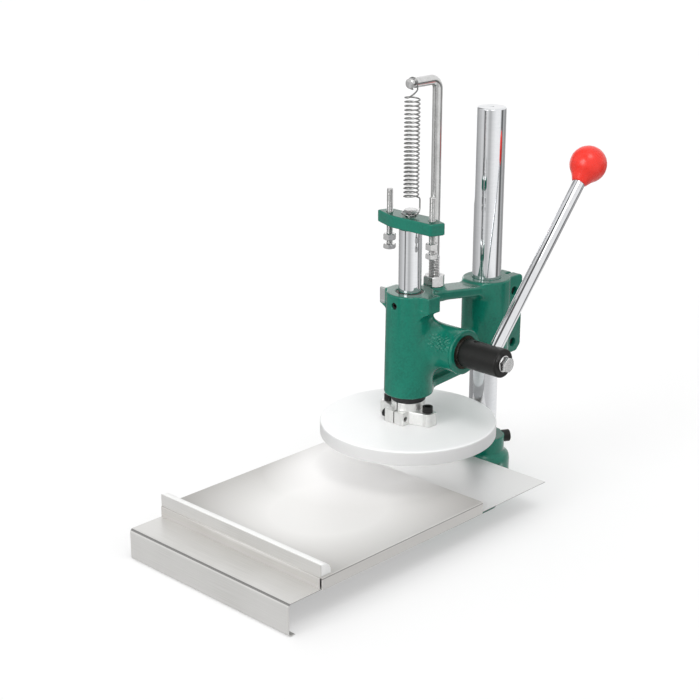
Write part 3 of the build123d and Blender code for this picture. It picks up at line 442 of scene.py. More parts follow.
def grub_screw(dia: float, length: float) -> Shell:
    """Headless screw along Z with its socket end at zero and its point below.

    Args:
        dia: Diameter.
        length: Length.

    Returns:
        The closed surface.
    """
    outer, key, bevel = dia / 2, 0.25 * dia, 0.08 * dia
    socket_floor = -0.4 * length
    rings = [
        Ring(socket_floor, key, Form.HEX),
        Ring(-bevel / 2, key, Form.HEX),
        Ring(0.0, key / math.cos(SIXTH / 2) + bevel / 2),
        Ring(0.0, outer - bevel),
        Ring(-bevel, outer),
        Ring(-length + bevel, outer),
        Ring(-length, outer - bevel),
    ]
    return ring_shell(rings)


def unit(vectors: Array) -> Array:
    """Vectors scaled to a length of one."""
    return vectors / np.linalg.norm(vectors, axis=-1, keepdims=True)


def placed(
    shell: Shell, origin: Sequence[float], axis: Sequence[float] = (0, 0, 1), turn: float = 0.0
) -> Shell:
    """Turns a shell about its own Z, lays that Z along an axis and moves it to an origin.

    Args:
        shell: Shell round the Z axis.
        origin: Where its own origin goes.
        axis: Where its Z points.
        turn: Turn about its Z, in degrees.

    Returns:
        The moved shell.
    """
    up, upright = unit(np.asarray(axis, float)), 0.9
    helper = np.array([0.0, 1.0, 0.0]) if abs(up[2]) > upright else np.array([0.0, 0.0, 1.0])
    across = unit(np.cross(helper, up))
    beside = np.cross(up, across)
    cos, sin = math.cos(math.radians(turn)), math.sin(math.radians(turn))
    frame = np.stack([across * cos + beside * sin, beside * cos - across * sin, up])
    return Shell(shell.points @ frame + np.asarray(origin, float), shell.quads, shell.tris)


def tube_shell(path: Array, side: Array, radii: Array | float, columns: int = 12) -> Shell:
    """Round skin carried along a path.

    A ring's plane is spanned by the side vector made square to the path, and by the cross product
    of the two, and the ring lies at the given radius in it.

    Args:
        path: Points of the path.
        side: A direction at each point that is never along the path.
        radii: One radius, or radii by point and column.
        columns: Steps round the path.

    Returns:
        The closed surface.
    """
    way = unit(np.gradient(path, axis=0))
    first = unit(side - (side * way).sum(axis=1, keepdims=True) * way)
    second = np.cross(way, first)
    angles = round_angles(columns)[None, :, None]
    size = np.broadcast_to(radii, (len(path), columns))
    ring = first[:, None] * np.cos(angles) + second[:, None] * np.sin(angles)
    return grid_shell(path[:, None] + size[..., None] * ring)


def eased(start: Array, start_way: Array, end: Array, end_way: Array, count: int) -> Array:
    """Smooth bend between two points: the cubic with the given end directions.

    Args:
        start: First point.
        start_way: Direction there, its length the speed.
        end: Last point.
        end_way: Direction there, its length the speed.
        count: Points, without the first.

    Returns:
        The points.
    """
    t = np.linspace(0, 1, count + 1)[1:, None]
    places = (2 * t**3 - 3 * t**2 + 1) * start + (3 * t**2 - 2 * t**3) * end
    return places + (t**3 - 2 * t**2 + t) * start_way + (t**3 - t**2) * end_way


def folded_sheet(line: Array, ends: Sequence[float], thick: float, axis: int) -> Shell:
    """Folded sheet: a line in an upright plane, given its thickness, carried straight across it.

    A point p of the line with the normal n gives p + n t / 2 on one face and p - n t / 2 on the
    other. The ring of both is repeated at each station, thinner at the two ends by a small bevel.
    Long straight runs get a point near each of their ends, which keeps them flat to the light.

    Args:
        line: Points of the sheet's middle line, the second coordinate up.
        ends: Where the sheet starts and ends along the axis.
        thick: Thickness of the sheet.
        axis: Number of the axis that it is carried along, 0 or 1.

    Returns:
        The closed surface.
    """
    near, long_run, bevel = 0.5, 4.0, 0.2 * thick
    way = np.concatenate([[0.0], np.cumsum(np.linalg.norm(np.diff(line, axis=0), axis=1))])
    long = np.diff(way) > long_run
    every = np.sort(np.concatenate([way, way[:-1][long] + near, way[1:][long] - near]))
    line = np.stack([np.interp(every, way, line[:, i]) for i in range(2)], axis=-1)
    along = unit(np.gradient(line, axis=0))
    normal = np.stack([-along[:, 1], along[:, 0]], axis=-1)
    stations = np.array([ends[0], ends[0] + bevel, ends[1] - bevel, ends[1]])
    half = (thick / 2 - bevel * np.array([1, 0, 0, 1]))[:, None, None]
    ring = np.concatenate([line + half * normal, (line - half * normal)[:, ::-1]], axis=1)
    place = np.broadcast_to(stations[:, None], ring.shape[:2])
    order = [place, ring[..., 0]] if axis == 0 else [ring[..., 0], place]
    index = np.arange(ring.shape[0] * ring.shape[1]).reshape(ring.shape[:2])
    face, back = index[:, : len(line)], index[:, len(line) :][:, ::-1]
    caps = np.stack([back[:, :-1], back[:, 1:], face[:, 1:], face[:, :-1]], axis=-1)
    points = np.stack([*order, ring[..., 1]], axis=-1).reshape(-1, 3)
    return Shell(points, np.concatenate([ring_quads(index), caps[0], caps[-1][:, ::-1]]))


# Castings


def between(values: Array, low: float, high: float) -> Array:
    """Distance to the slab between two levels."""
    return np.abs(values - (low + high) / 2) - (high - low) / 2


def rounded(sides: Sequence[Array], edge: float) -> Array:
    """Distance to the overlap of square slabs, negative inside, its corners rounded by an edge radius."""
    reach = np.stack(sides) + edge
    return np.linalg.norm(np.maximum(reach, 0), axis=0) + np.minimum(reach.max(axis=0), 0) - edge


def round_plan(q: Array, half: Sequence[float], corner: float) -> Array:
    """Distance in plan to a rectangle about the origin with rounded corners."""
    return rounded(list((np.abs(q) - np.asarray(half, float)).T), corner)


def round_bar(
    p: Array,
    axis: int,
    centre: Sequence[float],
    radius: float,
    ends: Sequence[float],
    edge: float = 1.5,
    taper: float = 0.0,
) -> Array:
    """Distance to a bar along an axis: off-axis distance less radius, cut at its two ends.

    Args:
        p: Points.
        axis: Number of the axis.
        centre: The two other coordinates of the bar's middle.
        radius: Radius at the lower end.
        ends: Lower and upper end.
        edge: Edge radius.
        taper: Growth of the radius from the lower to the upper end.

    Returns:
        The distances.
    """
    first, second = [i for i in range(3) if i != axis]
    low, high = ends
    share = np.clip((p[:, axis] - low) / (high - low), 0, 1)
    off = np.hypot(p[:, first] - centre[0], p[:, second] - centre[1]) - radius - taper * share
    return rounded([off, between(p[:, axis], low, high)], edge)


def block(p: Array, low: Sequence[float], high: Sequence[float], edge: float = 1.5) -> Array:
    """Distance to a box between two corners, its edges rounded."""
    return rounded([between(p[:, i], low[i], high[i]) for i in range(3)], edge)


def melted(a: Array, b: Array, fillet: float) -> Array:
    """Distance to two bodies joined by a fillet: the lesser, less a parabola where they are near."""
    near = np.maximum(fillet - np.abs(a - b), 0) / fillet
    return np.minimum(a, b) - near * near * fillet / 4


def trimmed(a: Array, b: Array, edge: float) -> Array:
    """Distance to what two bodies share, the new edge rounded."""
    return -melted(-a, -b, edge)


def carved(a: Array, b: Array, edge: float) -> Array:
    """Distance to a body less another, the new edge rounded."""
    return -melted(-a, b, edge)


def drilled(
    body: Array, p: Array, axis: int, centre: Span, radius: float, ends: Span, rim: float = 1.0
) -> Array:
    """Distance to a body less a round hole along an axis, the hole's rim rounded."""
    return carved(body, round_bar(p, axis, centre, radius, ends, TOOL_EDGE), rim)


def surface_net(values: Array, low: Array, step: float) -> tuple[Array, Array]:
    """Net of quads round the part of a cubic grid where values are negative.

    Each cell that the surface crosses gets a point at the mean of its edges' crossings, and each
    grid edge that the surface crosses gets a quad between the four cells round it.

    Args:
        values: Values at the grid's points.
        low: Lower corner of the grid.
        step: Grid spacing.

    Returns:
        The points, and the corners of the quads.
    """
    inside, axes = values < 0, np.eye(3, dtype=int)
    counts = np.array(values.shape) - 1
    corners = np.array([(i, j, k) for i in (0, 1) for j in (0, 1) for k in (0, 1)])

    def cells(array: Array, corner: Array) -> Array:
        """Value at one corner of every cell."""
        return array[tuple(slice(c, n + c) for c, n in zip(corner, counts))]

    filled = sum(cells(inside, corner).astype(np.int8) for corner in corners)
    crossed = (filled > 0) & (filled < len(corners))
    number = np.full(crossed.shape, -1)
    number[crossed] = np.arange(crossed.sum())
    total, hits = np.zeros((crossed.sum(), 3)), np.zeros((crossed.sum(), 1))
    for a in corners:
        for axis in np.flatnonzero(a == 0):
            b = a + axes[axis]
            at_a, at_b = cells(values, a)[crossed], cells(values, b)[crossed]
            hit = ((at_a < 0) != (at_b < 0))[:, None]
            share = at_a[:, None] / np.where(hit, (at_a - at_b)[:, None], 1.0)
            total += hit * (a + share * (b - a))
            hits += hit
    quads = []
    for axis in range(3):
        u, v = axes[(axis + 1) % 3], axes[(axis + 2) % 3]
        inner = [slice(1, -1)] * 3
        inner[axis] = slice(0, -1)
        ahead = list(inner)
        ahead[axis] = slice(1, None)
        here, there = inside[tuple(inner)], inside[tuple(ahead)]
        place = np.argwhere(here != there) + u + v
        beside = [place, place - u, place - u - v, place - v]
        ring = np.stack([number[tuple(cell.T)] for cell in beside], axis=-1)
        leaving = here[here != there][:, None]
        quads.append(np.where(leaving, ring, ring[:, ::-1]))
    return low + step * (np.argwhere(crossed) + total / hits), np.concatenate(quads)


def around(body: Field, points: Array, reach: float) -> tuple[Array, Array]:
    """Slope and mean of a field at points, from samples a reach away along each axis.

    Args:
        body: The field.
        points: The points.
        reach: How far away the samples lie.

    Returns:
        The slopes and the means.
    """
    steps = reach * np.eye(3)
    ahead = np.stack([body(points + s) for s in steps], axis=1)
    back = np.stack([body(points - s) for s in steps], axis=1)
    return (ahead - back) / (2 * reach), (ahead + back).mean(axis=1) / 2


def cast_skin(body: Field, low: Sequence[float], high: Sequence[float], step: float) -> Shell:
    """Skin of a body given by its distance field.

    The field is sampled on a cubic grid, and the points of its surface net are drawn onto the
    surface along the field's slope. The mark ridge is the field's mean bend, positive on outer
    edges and negative in corners, and the mark top is how far a face looks up.

    Args:
        body: The distance field.
        low: Lower corner of the grid.
        high: Upper corner of the grid.
        step: Grid spacing.

    Returns:
        The closed surface with its normals and marks.
    """
    draws, most, least_slope, bend_reach = 3, 0.6 * step, 0.1, 1.2
    level, upward = 0.8, 0.95
    low = np.asarray(low, float)
    counts = np.ceil((np.asarray(high, float) - low) / step).astype(int) + 1
    axes = [low[i] + step * np.arange(counts[i]) for i in range(3)]
    grid = np.stack(np.meshgrid(*axes, indexing="ij"), axis=-1).reshape(-1, 3)
    points, quads = surface_net(body(grid).reshape(counts), low, step)
    for _ in range(draws):
        slope = around(body, points, 0.15 * step)[0]
        steep = np.maximum((slope * slope).sum(axis=1, keepdims=True), least_slope)
        points = points - np.clip(body(points)[:, None] * slope / steep, -most, most)
    normals = unit(around(body, points, 0.2 * step)[0])
    ridge = around(body, points, bend_reach)[1] - body(points)
    top = np.clip((normals[:, 2] - level) / (upward - level), 0, 1)
    return Shell(points, quads, normals=normals, marks={"ridge": ridge, "top": top})


# Materials


def linear(code: str) -> tuple[float, float, float, float]:
    """Turns an sRGB hex colour into linear red, green, blue and alpha.

    Args:
        code: Colour such as #2C7F69.

    Returns:
        The linear colour.
    """
    shares = np.array([int(code[i : i + 2], 16) for i in (1, 3, 5)]) / 255
    lit = np.where(shares <= 0.04045, shares / 12.92, ((shares + 0.055) / 1.055) ** 2.4)
    return (float(lit[0]), float(lit[1]), float(lit[2]), 1.0)


def per_metre(mm: float) -> float:
    """Scale of a pattern that repeats every so many millimetres."""
    return 1.0 / (mm * MM)


def feed(tree: Tree, node: bpy.types.Node, inputs: dict[Any, Any]) -> None:
    """Links sockets to a node's inputs, or sets their values.

    Args:
        tree: The node tree.
        node: The node.
        inputs: Values or sockets by input name or number.
    """
    for key, value in inputs.items():
        if isinstance(value, Socket):
            tree.links.new(value, node.inputs[key])
        else:
            node.inputs[key].default_value = value


def add(tree: Tree, kind: str, inputs: dict[Any, Any] | None = None, **settings: Any) -> bpy.types.Node:
    """Adds a node with its settings, values and links.

    Args:
        tree: The node tree.
        kind: Node type, without the prefix that all of them share.
        inputs: Values or sockets by input name or number.
        settings: Properties of the node.

    Returns:
        The new node.
    """
    node = tree.nodes.new(f"ShaderNode{kind}")
    for name, value in settings.items():
        setattr(node, name, value)
    feed(tree, node, inputs or {})
    return node


@dataclass(frozen=True)
class Canvas:
    """A material in the making.

    Attributes:
        made: The material.
        tree: Its node tree.
        shader: Its surface shader.
        place: Object coordinates.
    """

    made: bpy.types.Material
    tree: Tree
    shader: bpy.types.Node
    place: Socket

    @classmethod
    def blank(cls, name: str) -> Canvas:
        """Starts a material with its surface shader.

        Args:
            name: Name of the material.

        Returns:
            The material in the making.
        """
        made = bpy.data.materials.new(name)
        made.use_nodes = True
        shader = next(node for node in made.node_tree.nodes if node.type == "BSDF_PRINCIPLED")
        return cls(made, made.node_tree, shader, add(made.node_tree, "TexCoord").outputs["Object"])

    def fed(self, name: str) -> Socket:
        """What feeds an input of the shader so far."""
        return self.shader.inputs[name].links[0].from_socket


@dataclass(frozen=True)
class Finish:
    """A surface finish.

    Attributes:
        name: Name of the material.
        colour: Main colour.
        shade: Second colour, which the first drifts towards.
        roughness: Middle of the roughness.
        spread: Drift of the roughness to both sides.
        metallic: 1 for a bare metal.
        drift_mm: Size of the colour's patches.
        grain_mm: Repeat of the fine grain along X, Y and Z.
        relief_mm: Depth of the fine grain.
        level: Specular level.
        drift_span: Values of the drift between the two colours.
        grain_span: Values of the grain between the least and the most roughness.
    """

    name: str
    colour: str
    shade: str
    roughness: float
    spread: float = 0.04
    metallic: float = 0.0
    drift_mm: float = 40.0
    grain_mm: Spot = (1.0, 1.0, 1.0)
    relief_mm: float = 0.02
    level: float = 0.5
    drift_span: Span = (0.1, 0.42)
    grain_span: Span = (0.25, 0.75)

    def grain(self, canvas: Canvas) -> Socket:
        """Fine pattern of the surface: noise stretched to the grain's repeats.

        Args:
            canvas: The material in the making.

        Returns:
            The pattern's value.
        """
        scale = tuple(per_metre(mm) for mm in self.grain_mm)
        stretched = add(canvas.tree, "Mapping", {"Vector": canvas.place, "Scale": scale}).outputs[0]
        return add(canvas.tree, "TexNoise", {"Vector": stretched, "Scale": 1.0, "Detail": 3.0}).outputs[0]

    def colouring(self, canvas: Canvas, grain: Socket) -> Socket:
        """Colour that drifts between the two colours in wide patches.

        Args:
            canvas: The material in the making.
            grain: The fine pattern.

        Returns:
            The colour.
        """
        tree, (low, high) = canvas.tree, self.drift_span
        size = per_metre(self.drift_mm)
        wide = add(tree, "TexNoise", {"Vector": canvas.place, "Scale": size, "Detail": 4.0}).outputs[0]
        drift = add(tree, "Math", {0: wide, 1: grain}, operation="MULTIPLY").outputs[0]
        share = add(tree, "MapRange", {"Value": drift, "From Min": low, "From Max": high}).outputs[0]
        both = {0: share, 6: linear(self.colour), 7: linear(self.shade)}
        return add(tree, "Mix", both, data_type="RGBA").outputs[2]

    def extras(self, canvas: Canvas) -> None:
        """Further settings of a kind of finish; none for a plain one."""

    def material(self) -> bpy.types.Material:
        """Makes the material, once.

        Returns:
            The material.
        """
        known = bpy.data.materials.get(self.name)
        if known is not None:
            return known
        canvas = Canvas.blank(self.name)
        canvas.made.diffuse_color = linear(self.colour)
        tree, grain = canvas.tree, self.grain(canvas)
        least, most = self.roughness - self.spread, self.roughness + self.spread
        low, high = self.grain_span
        span = {"From Min": low, "From Max": high, "To Min": least, "To Max": most}
        depth = self.relief_mm * MM
        inputs = {
            "Base Color": self.colouring(canvas, grain),
            "Roughness": add(tree, "MapRange", {"Value": grain, **span}).outputs[0],
            "Normal": add(tree, "Bump", {"Strength": 1.0, "Distance": depth, "Height": grain}).outputs[0],
            "Metallic": self.metallic,
            "Specular IOR Level": self.level,
        }
        feed(tree, canvas.shader, inputs)
        self.extras(canvas)
        return canvas.made


@dataclass(frozen=True)
class CastEnamel(Finish):
    """Gloss enamel brushed over a sand casting.

    Attributes:
        bare: Colour of the machined spots.
        bare_metal: How metallic they are.
        top_tint: A darker grey-green laid over faces that look up.
        top_tint_share: How far it covers them.
        worn: Colour on the sharpest outer edges.
        worn_span: Bend of the surface where it starts and where it is full.
        worn_share: How far it covers them.
        corner_shade_span: The same for the second, darker colour in inner corners, which is painted shade.
        corner_shade_share: How far the painted shade covers them.
        lumps_mm: Size of the lumps where the casting was left rough.
        lump_depth_mm: Their height.
    """

    bare: str = "#C2C5C4"
    bare_metal: float = 0.9
    top_tint: str = "#36443F"
    top_tint_share: float = 0.5
    worn: str = "#5E9C8B"
    worn_span: Span = (0.16, 0.5)
    worn_share: float = 0.55
    corner_shade_span: Span = (-0.05, -0.3)
    corner_shade_share: float = 0.35
    lumps_mm: float = 3.0
    lump_depth_mm: float = 1.7

    def extras(self, canvas: Canvas) -> None:
        """Thin paint on outer edges, grey-green on tops, painted shade in inner corners, bare machined spots,
        rough lumps.

        Args:
            canvas: The material in the making.
        """
        tree, colour = canvas.tree, canvas.fed("Base Color")
        marks = ("ridge", "top", "bare", "rough")
        ridge, top, bare, rough = [add(tree, "Attribute", attribute_name=m).outputs["Fac"] for m in marks]
        (start, full), (inner, deepest) = self.worn_span, self.corner_shade_span
        worn = {"Value": ridge, "From Min": start, "From Max": full, "To Max": self.worn_share}
        # Painted shade: the second, darker colour in inner corners
        corner = {"Value": ridge, "From Min": inner, "From Max": deepest, "To Max": self.corner_shade_share}
        layers = [
            (add(tree, "MapRange", worn).outputs[0], self.worn),
            (add(tree, "MapRange", corner).outputs[0], self.shade),
            (add(tree, "Math", {0: top, 1: self.top_tint_share}, operation="MULTIPLY").outputs[0], self.top_tint),
            (bare, self.bare),
        ]
        for share, tint in layers:
            colour = add(tree, "Mix", {0: share, 6: colour, 7: linear(tint)}, data_type="RGBA").outputs[2]
        size = per_metre(self.lumps_mm)
        lumps = add(tree, "TexNoise", {"Vector": canvas.place, "Scale": size, "Detail": 2.0}).outputs[0]
        height = add(tree, "Math", {0: lumps, 1: rough}, operation="MULTIPLY").outputs[0]
        rise = {"Strength": 1.0, "Distance": self.lump_depth_mm * MM, "Height": height}
        inputs = {
            "Base Color": colour,
            "Metallic": add(tree, "Math", {0: bare, 1: self.bare_metal}, operation="MULTIPLY").outputs[0],
            "Normal": add(tree, "Bump", {**rise, "Normal": canvas.fed("Normal")}).outputs[0],
        }
        feed(tree, canvas.shader, inputs)


@dataclass(frozen=True)
class TurnedPlastic(Finish):
    """Plastic faced on a lathe, which leaves faint rings round the Z axis.

    Attributes:
        ring_mm: Spacing of the rings, drawn coarser than the real feed so that they show.
        ring_depth_mm: Depth of the rings.
        ring_strength: How much of that depth shows.
        waver: How uneven the rings are.
        rim: Colour of the rim, darker than the faces: painted shade on the disc's side.
        soak: Share of the light that enters the plastic.
        soak_mm: How far it gets.
    """

    ring_mm: float = 2.4
    ring_depth_mm: float = 0.01
    ring_strength: float = 0.6
    waver: float = 0.3
    rim: str = "#DADADA"
    soak: float = 0.5
    soak_mm: float = 12.0

    def extras(self, canvas: Canvas) -> None:
        """Rings of the turning tool, painted shade on the rim, and light that enters the plastic a little.

        Args:
            canvas: The material in the making.
        """
        tree, radians_per_scale = canvas.tree, 20
        scale = FULL_TURN / radians_per_scale * per_metre(self.ring_mm)
        wave = {"Vector": canvas.place, "Scale": scale, "Distortion": self.waver}
        rings = add(tree, "TexWave", wave, wave_type="RINGS", rings_direction="Z").outputs["Fac"]
        rise = {"Strength": self.ring_strength, "Distance": self.ring_depth_mm * MM, "Height": rings}
        # Painted shade: the rim is drawn darker than the faces
        edge = add(tree, "Attribute", attribute_name="rim").outputs["Fac"]
        faces = {0: edge, 6: canvas.fed("Base Color"), 7: linear(self.rim)}
        inputs = {
            "Base Color": add(tree, "Mix", faces, data_type="RGBA").outputs[2],
            "Normal": add(tree, "Bump", {**rise, "Normal": canvas.fed("Normal")}).outputs[0],
            "Subsurface Weight": self.soak,
            "Subsurface Radius": (1.0, 1.0, 1.0),
            "Subsurface Scale": self.soak_mm * MM,
        }
        feed(tree, canvas.shader, inputs)


@dataclass(frozen=True)
class PaintedLightBand:
    """Part of a sheet painted lighter or darker, as painted light or painted shade.

    Attributes:
        bounds: Axis of each bound, its distance from the middle on both sides, and half its width.
        colour: Colour inside all the bounds.
        share: How far it covers the colour below.
    """

    bounds: tuple[tuple[str, float, float], ...]
    colour: str
    share: float

    def over(self, canvas: Canvas, colour: Socket) -> Socket:
        """A colour with the band laid over it.

        Args:
            canvas: The material in the making.
            colour: The colour below.

        Returns:
            The colour of both.
        """
        tree, share = canvas.tree, self.share
        parts = add(tree, "SeparateXYZ", {0: canvas.place}).outputs
        for axis, level, half in self.bounds:
            away = add(tree, "Math", {0: parts[axis]}, operation="ABSOLUTE").outputs[0]
            near = add(tree, "Math", {0: away, 1: level * MM, 2: half * MM}, operation="COMPARE").outputs[0]
            share = add(tree, "Math", {0: near, 1: share}, operation="MULTIPLY").outputs[0]
        return add(tree, "Mix", {0: share, 6: colour, 7: linear(self.colour)}, data_type="RGBA").outputs[2]


@dataclass(frozen=True)
class PaintedLightPatch:
    """Patch of a sheet painted brighter, as painted light.

    Attributes:
        middle: Its middle.
        size: Its reach along X, Y and Z.
        fade: Share of the reach that it fades over.
        colour: Its colour.
    """

    middle: Spot
    size: Spot
    fade: float
    colour: str

    def over(self, canvas: Canvas, colour: Socket) -> Socket:
        """A colour with the patch laid over it.

        Args:
            canvas: The material in the making.
            colour: The colour below.

        Returns:
            The colour of both.
        """
        tree = canvas.tree
        shift = tuple(-a / b for a, b in zip(self.middle, self.size))
        scale = tuple(per_metre(mm) for mm in self.size)
        spot = add(tree, "Mapping", {"Vector": canvas.place, "Location": shift, "Scale": scale}).outputs[0]
        near = add(tree, "TexGradient", {"Vector": spot}, gradient_type="SPHERICAL").outputs["Fac"]
        share = add(tree, "MapRange", {"Value": near, "From Max": self.fade}).outputs[0]
        return add(tree, "Mix", {0: share, 6: colour, 7: linear(self.colour)}, data_type="RGBA").outputs[2]


@dataclass(frozen=True)
class PaintedLightSheet(Finish):
    """Ground sheet with painted light: faces painted lighter or darker, bright painted patches and painted
    shade in the creases at its folds.

    Attributes:
        layers: Bands and patches, each over the ones before it.
    """

    layers: tuple[PaintedLightBand | PaintedLightPatch, ...] = ()

    def extras(self, canvas: Canvas) -> None:
        """Lays the bands and patches of painted light and shade over the sheet's colour.

        Args:
            canvas: The material in the making.
        """
        colour = canvas.fed("Base Color")
        for layer in self.layers:
            colour = layer.over(canvas, colour)
        feed(canvas.tree, canvas.shader, {"Base Color": colour})


@dataclass(frozen=True)
class Plated(Finish):
    """Plated steel with painted shade in its thread grooves.

    Attributes:
        shade_in_grooves: Colour in the grooves, painted shade.
    """

    shade_in_grooves: str = "#2A2A29"

    def extras(self, canvas: Canvas) -> None:
        """Darkens the points that are marked as a groove, as painted shade.

        Args:
            canvas: The material in the making.
        """
        groove = add(canvas.tree, "Attribute", attribute_name="groove").outputs["Fac"]
        both = {0: groove, 6: canvas.fed("Base Color"), 7: linear(self.shade_in_grooves)}
        colour = add(canvas.tree, "Mix", both, data_type="RGBA").outputs[2]
        feed(canvas.tree, canvas.shader, {"Base Color": colour})


def groove_depth(points: Array, axes: Sequence[Span], radius: float, depth: float) -> Array:
    """How deep points lie in the grooves of upright threads, from 0 on the crests to 1 in the roots."""
    off = np.min([np.hypot(points[:, 0] - x, points[:, 1] - y) for x, y in axes], axis=0)
    return np.clip((radius - off) / depth, 0, 1)


class Stock:
    """The press's finishes, one for each thing that its pieces are made of.

    After the name and the two colours stand the roughness, its spread, how metallic the finish is,
    the size of its patches, the repeats of its grain and the grain's depth.
    """

    # Sand-cast iron under gloss enamel: deep green, a slight orange peel, pale where light grazes it
    enamel = CastEnamel(
        "Green enamel on cast iron", "#107C67", "#0C6857",
        0.17, 0.04, 0.0, 28.0, (2.6, 2.6, 2.6), 0.04, level=0.38,
    )
    # Hard chrome on a ground bar: a clean mirror with faint grinding rings along its length
    chrome = Finish(
        "Chromed ground steel", "#EDEEF0", "#E2E4E7", 0.06, 0.02, 1.0, 60.0, (14.0, 14.0, 0.9), 0.0006
    )
    # The same chrome on a drawn and buffed bar: a clean mirror without rings
    buffed = Finish(
        "Chromed buffed steel", "#EDEEF0", "#E4E5E8", 0.06, 0.015, 1.0, 50.0, (9.0, 9.0, 9.0), 0.0004
    )
    # Cold rolled stainless sheet, satin ground along X: pale grey with soft streaks
    ground_sheet = ("#E1E0DE", "#D5D4D1", 0.34, 0.05, 0.55, 90.0, (60.0, 0.8, 0.8), 0.004)
    stainless = Finish("Satin ground stainless sheet", *ground_sheet)
    # The tray's own sheet: as ground, with painted light behind the plate and painted shade on the bend of
    # its front fold
    tray_stainless_painted_light = PaintedLightSheet(
        "Ground stainless tray sheet with painted light",
        *ground_sheet,
        layers=(
            PaintedLightPatch((50.0, 75.0, TRAY_TOP), (230.0, 150.0, 6.0), 0.5, "#E5E5E4"),
            PaintedLightBand((("Z", TRAY_TOP - 1.25, 0.85),), "#60605E", 0.75),
        ),
    )
    # The plate's sheet with painted light: skirts painted lighter, the top painted darker, a painted
    # highlight in its middle, painted light where the disc shades it, and painted shade in the folds at its
    # sides
    plate_stainless_painted_light = PaintedLightSheet(
        "Ground stainless plate sheet with painted light", "#CCCAC7", "#C2BFBB",
        0.5, 0.05, 0.2, 70.0, (90.0, 1.1, 0.8), 0.004,
        layers=(
            PaintedLightBand((("X", PLATE_HALF, 1.6),), "#DCDAD7", 0.9),
            PaintedLightBand((("Z", PLATE_TOP, 0.5),), "#ADABA8", 0.75),
            PaintedLightPatch((16.0, -158.0, PLATE_TOP), (165.0, 185.0, 6.0), 0.6, "#EEEDEB"),
            PaintedLightPatch((-44.0, -14.0, PLATE_TOP), (128.0, 155.0, 6.0), 0.45, "#FAF9F8"),
            PaintedLightBand((("X", PLATE_HALF, 1.6), ("Z", PLATE_TOP - 1.6, 0.7)), "#5A5856", 0.6),
        ),
    )
    # Zinc plate on rolled steel: bright and faintly cloudy
    zinc = Plated(
        "Bright zinc plated steel", "#DDDDDD", "#C8C8C7", 0.18, 0.07, 1.0, 12.0, (1.4, 1.4, 1.4), 0.008
    )
    # Hard drawn spring wire: bright, with fine marks of the die
    wire = Finish("Drawn spring wire", "#A2A2A1", "#808080", 0.1, 0.04, 1.0, 8.0, (1.2, 1.2, 0.4), 0.004)
    # Free cutting steel off the lathe: plain grey, with tool marks
    steel = Finish("Turned steel", "#B9B8B4", "#9C9B98", 0.3, 0.08, 1.0, 15.0, (0.5, 3.0, 3.0), 0.01)
    # Steel blackened in hot salts and oiled: near black with a soft sheen, mottled
    blackened = Finish(
        "Oiled black oxide steel", "#191918", "#111110",
        0.4, 0.08, 0.0, 14.0, (1.2, 2.4, 2.4), 0.03, level=0.3,
    )
    # Sintered bronze, dark with oil
    bronze = Finish(
        "Oil filled sintered bronze", "#3A3227", "#28231D", 0.4, 0.08, 0.9, 10.0, (0.7, 0.7, 0.7), 0.02
    )
    # Aluminium bar, milled and tumbled: pale with soft cutter marks
    milled = Finish("Milled aluminium", "#E8E8E6", "#DADAD8", 0.36, 0.06, 0.8, 20.0, (0.7, 5.0, 5.0), 0.01)
    # Nitrile rubber from a mould: dull black
    rubber = Finish(
        "Moulded nitrile rubber", "#1B1B1C", "#242425", 0.65, 0.06, 0.0, 10.0, (0.8, 0.8, 0.8), 0.03
    )
    # High density polyethylene, sawn from sheet and turned: milky white, matt, with painted shade on its rim
    polyethylene = TurnedPlastic(
        "Turned white polyethylene", "#FCFCFC", "#F8F8F9", 0.42, 0.04, 0.0, 60.0, (1.6, 1.6, 1.6), 0.01
    )
    # Extruded white polyethylene strip: a little glossier than the disc
    strip = Finish(
        "Extruded white polyethylene", "#FAFAF9", "#F5F5F4", 0.38, 0.05, 0.0, 50.0, (40.0, 1.2, 1.2), 0.012
    )
    # Moulded phenolic ball, polished: strong red under a clear gloss
    phenolic = Finish(
        "Polished red phenolic", "#F8372A", "#EE2D20", 0.27, 0.04, 0.0, 25.0, (3.0, 3.0, 3.0), 0.01
    )


SLOT_FINISH: dict[str, Finish] = {
    "green_paint": Stock.enamel,
    "chrome": Stock.chrome,
    "stainless": Stock.stainless,
    "zinc_steel": Stock.zinc,
    "spring_steel": Stock.wire,
    "plain_steel": Stock.steel,
    "black_steel": Stock.blackened,
    "bronze": Stock.bronze,
    "aluminium": Stock.milled,
    "black_rubber": Stock.rubber,
    "white_plastic": Stock.strip,
    "red_plastic": Stock.phenolic,
}


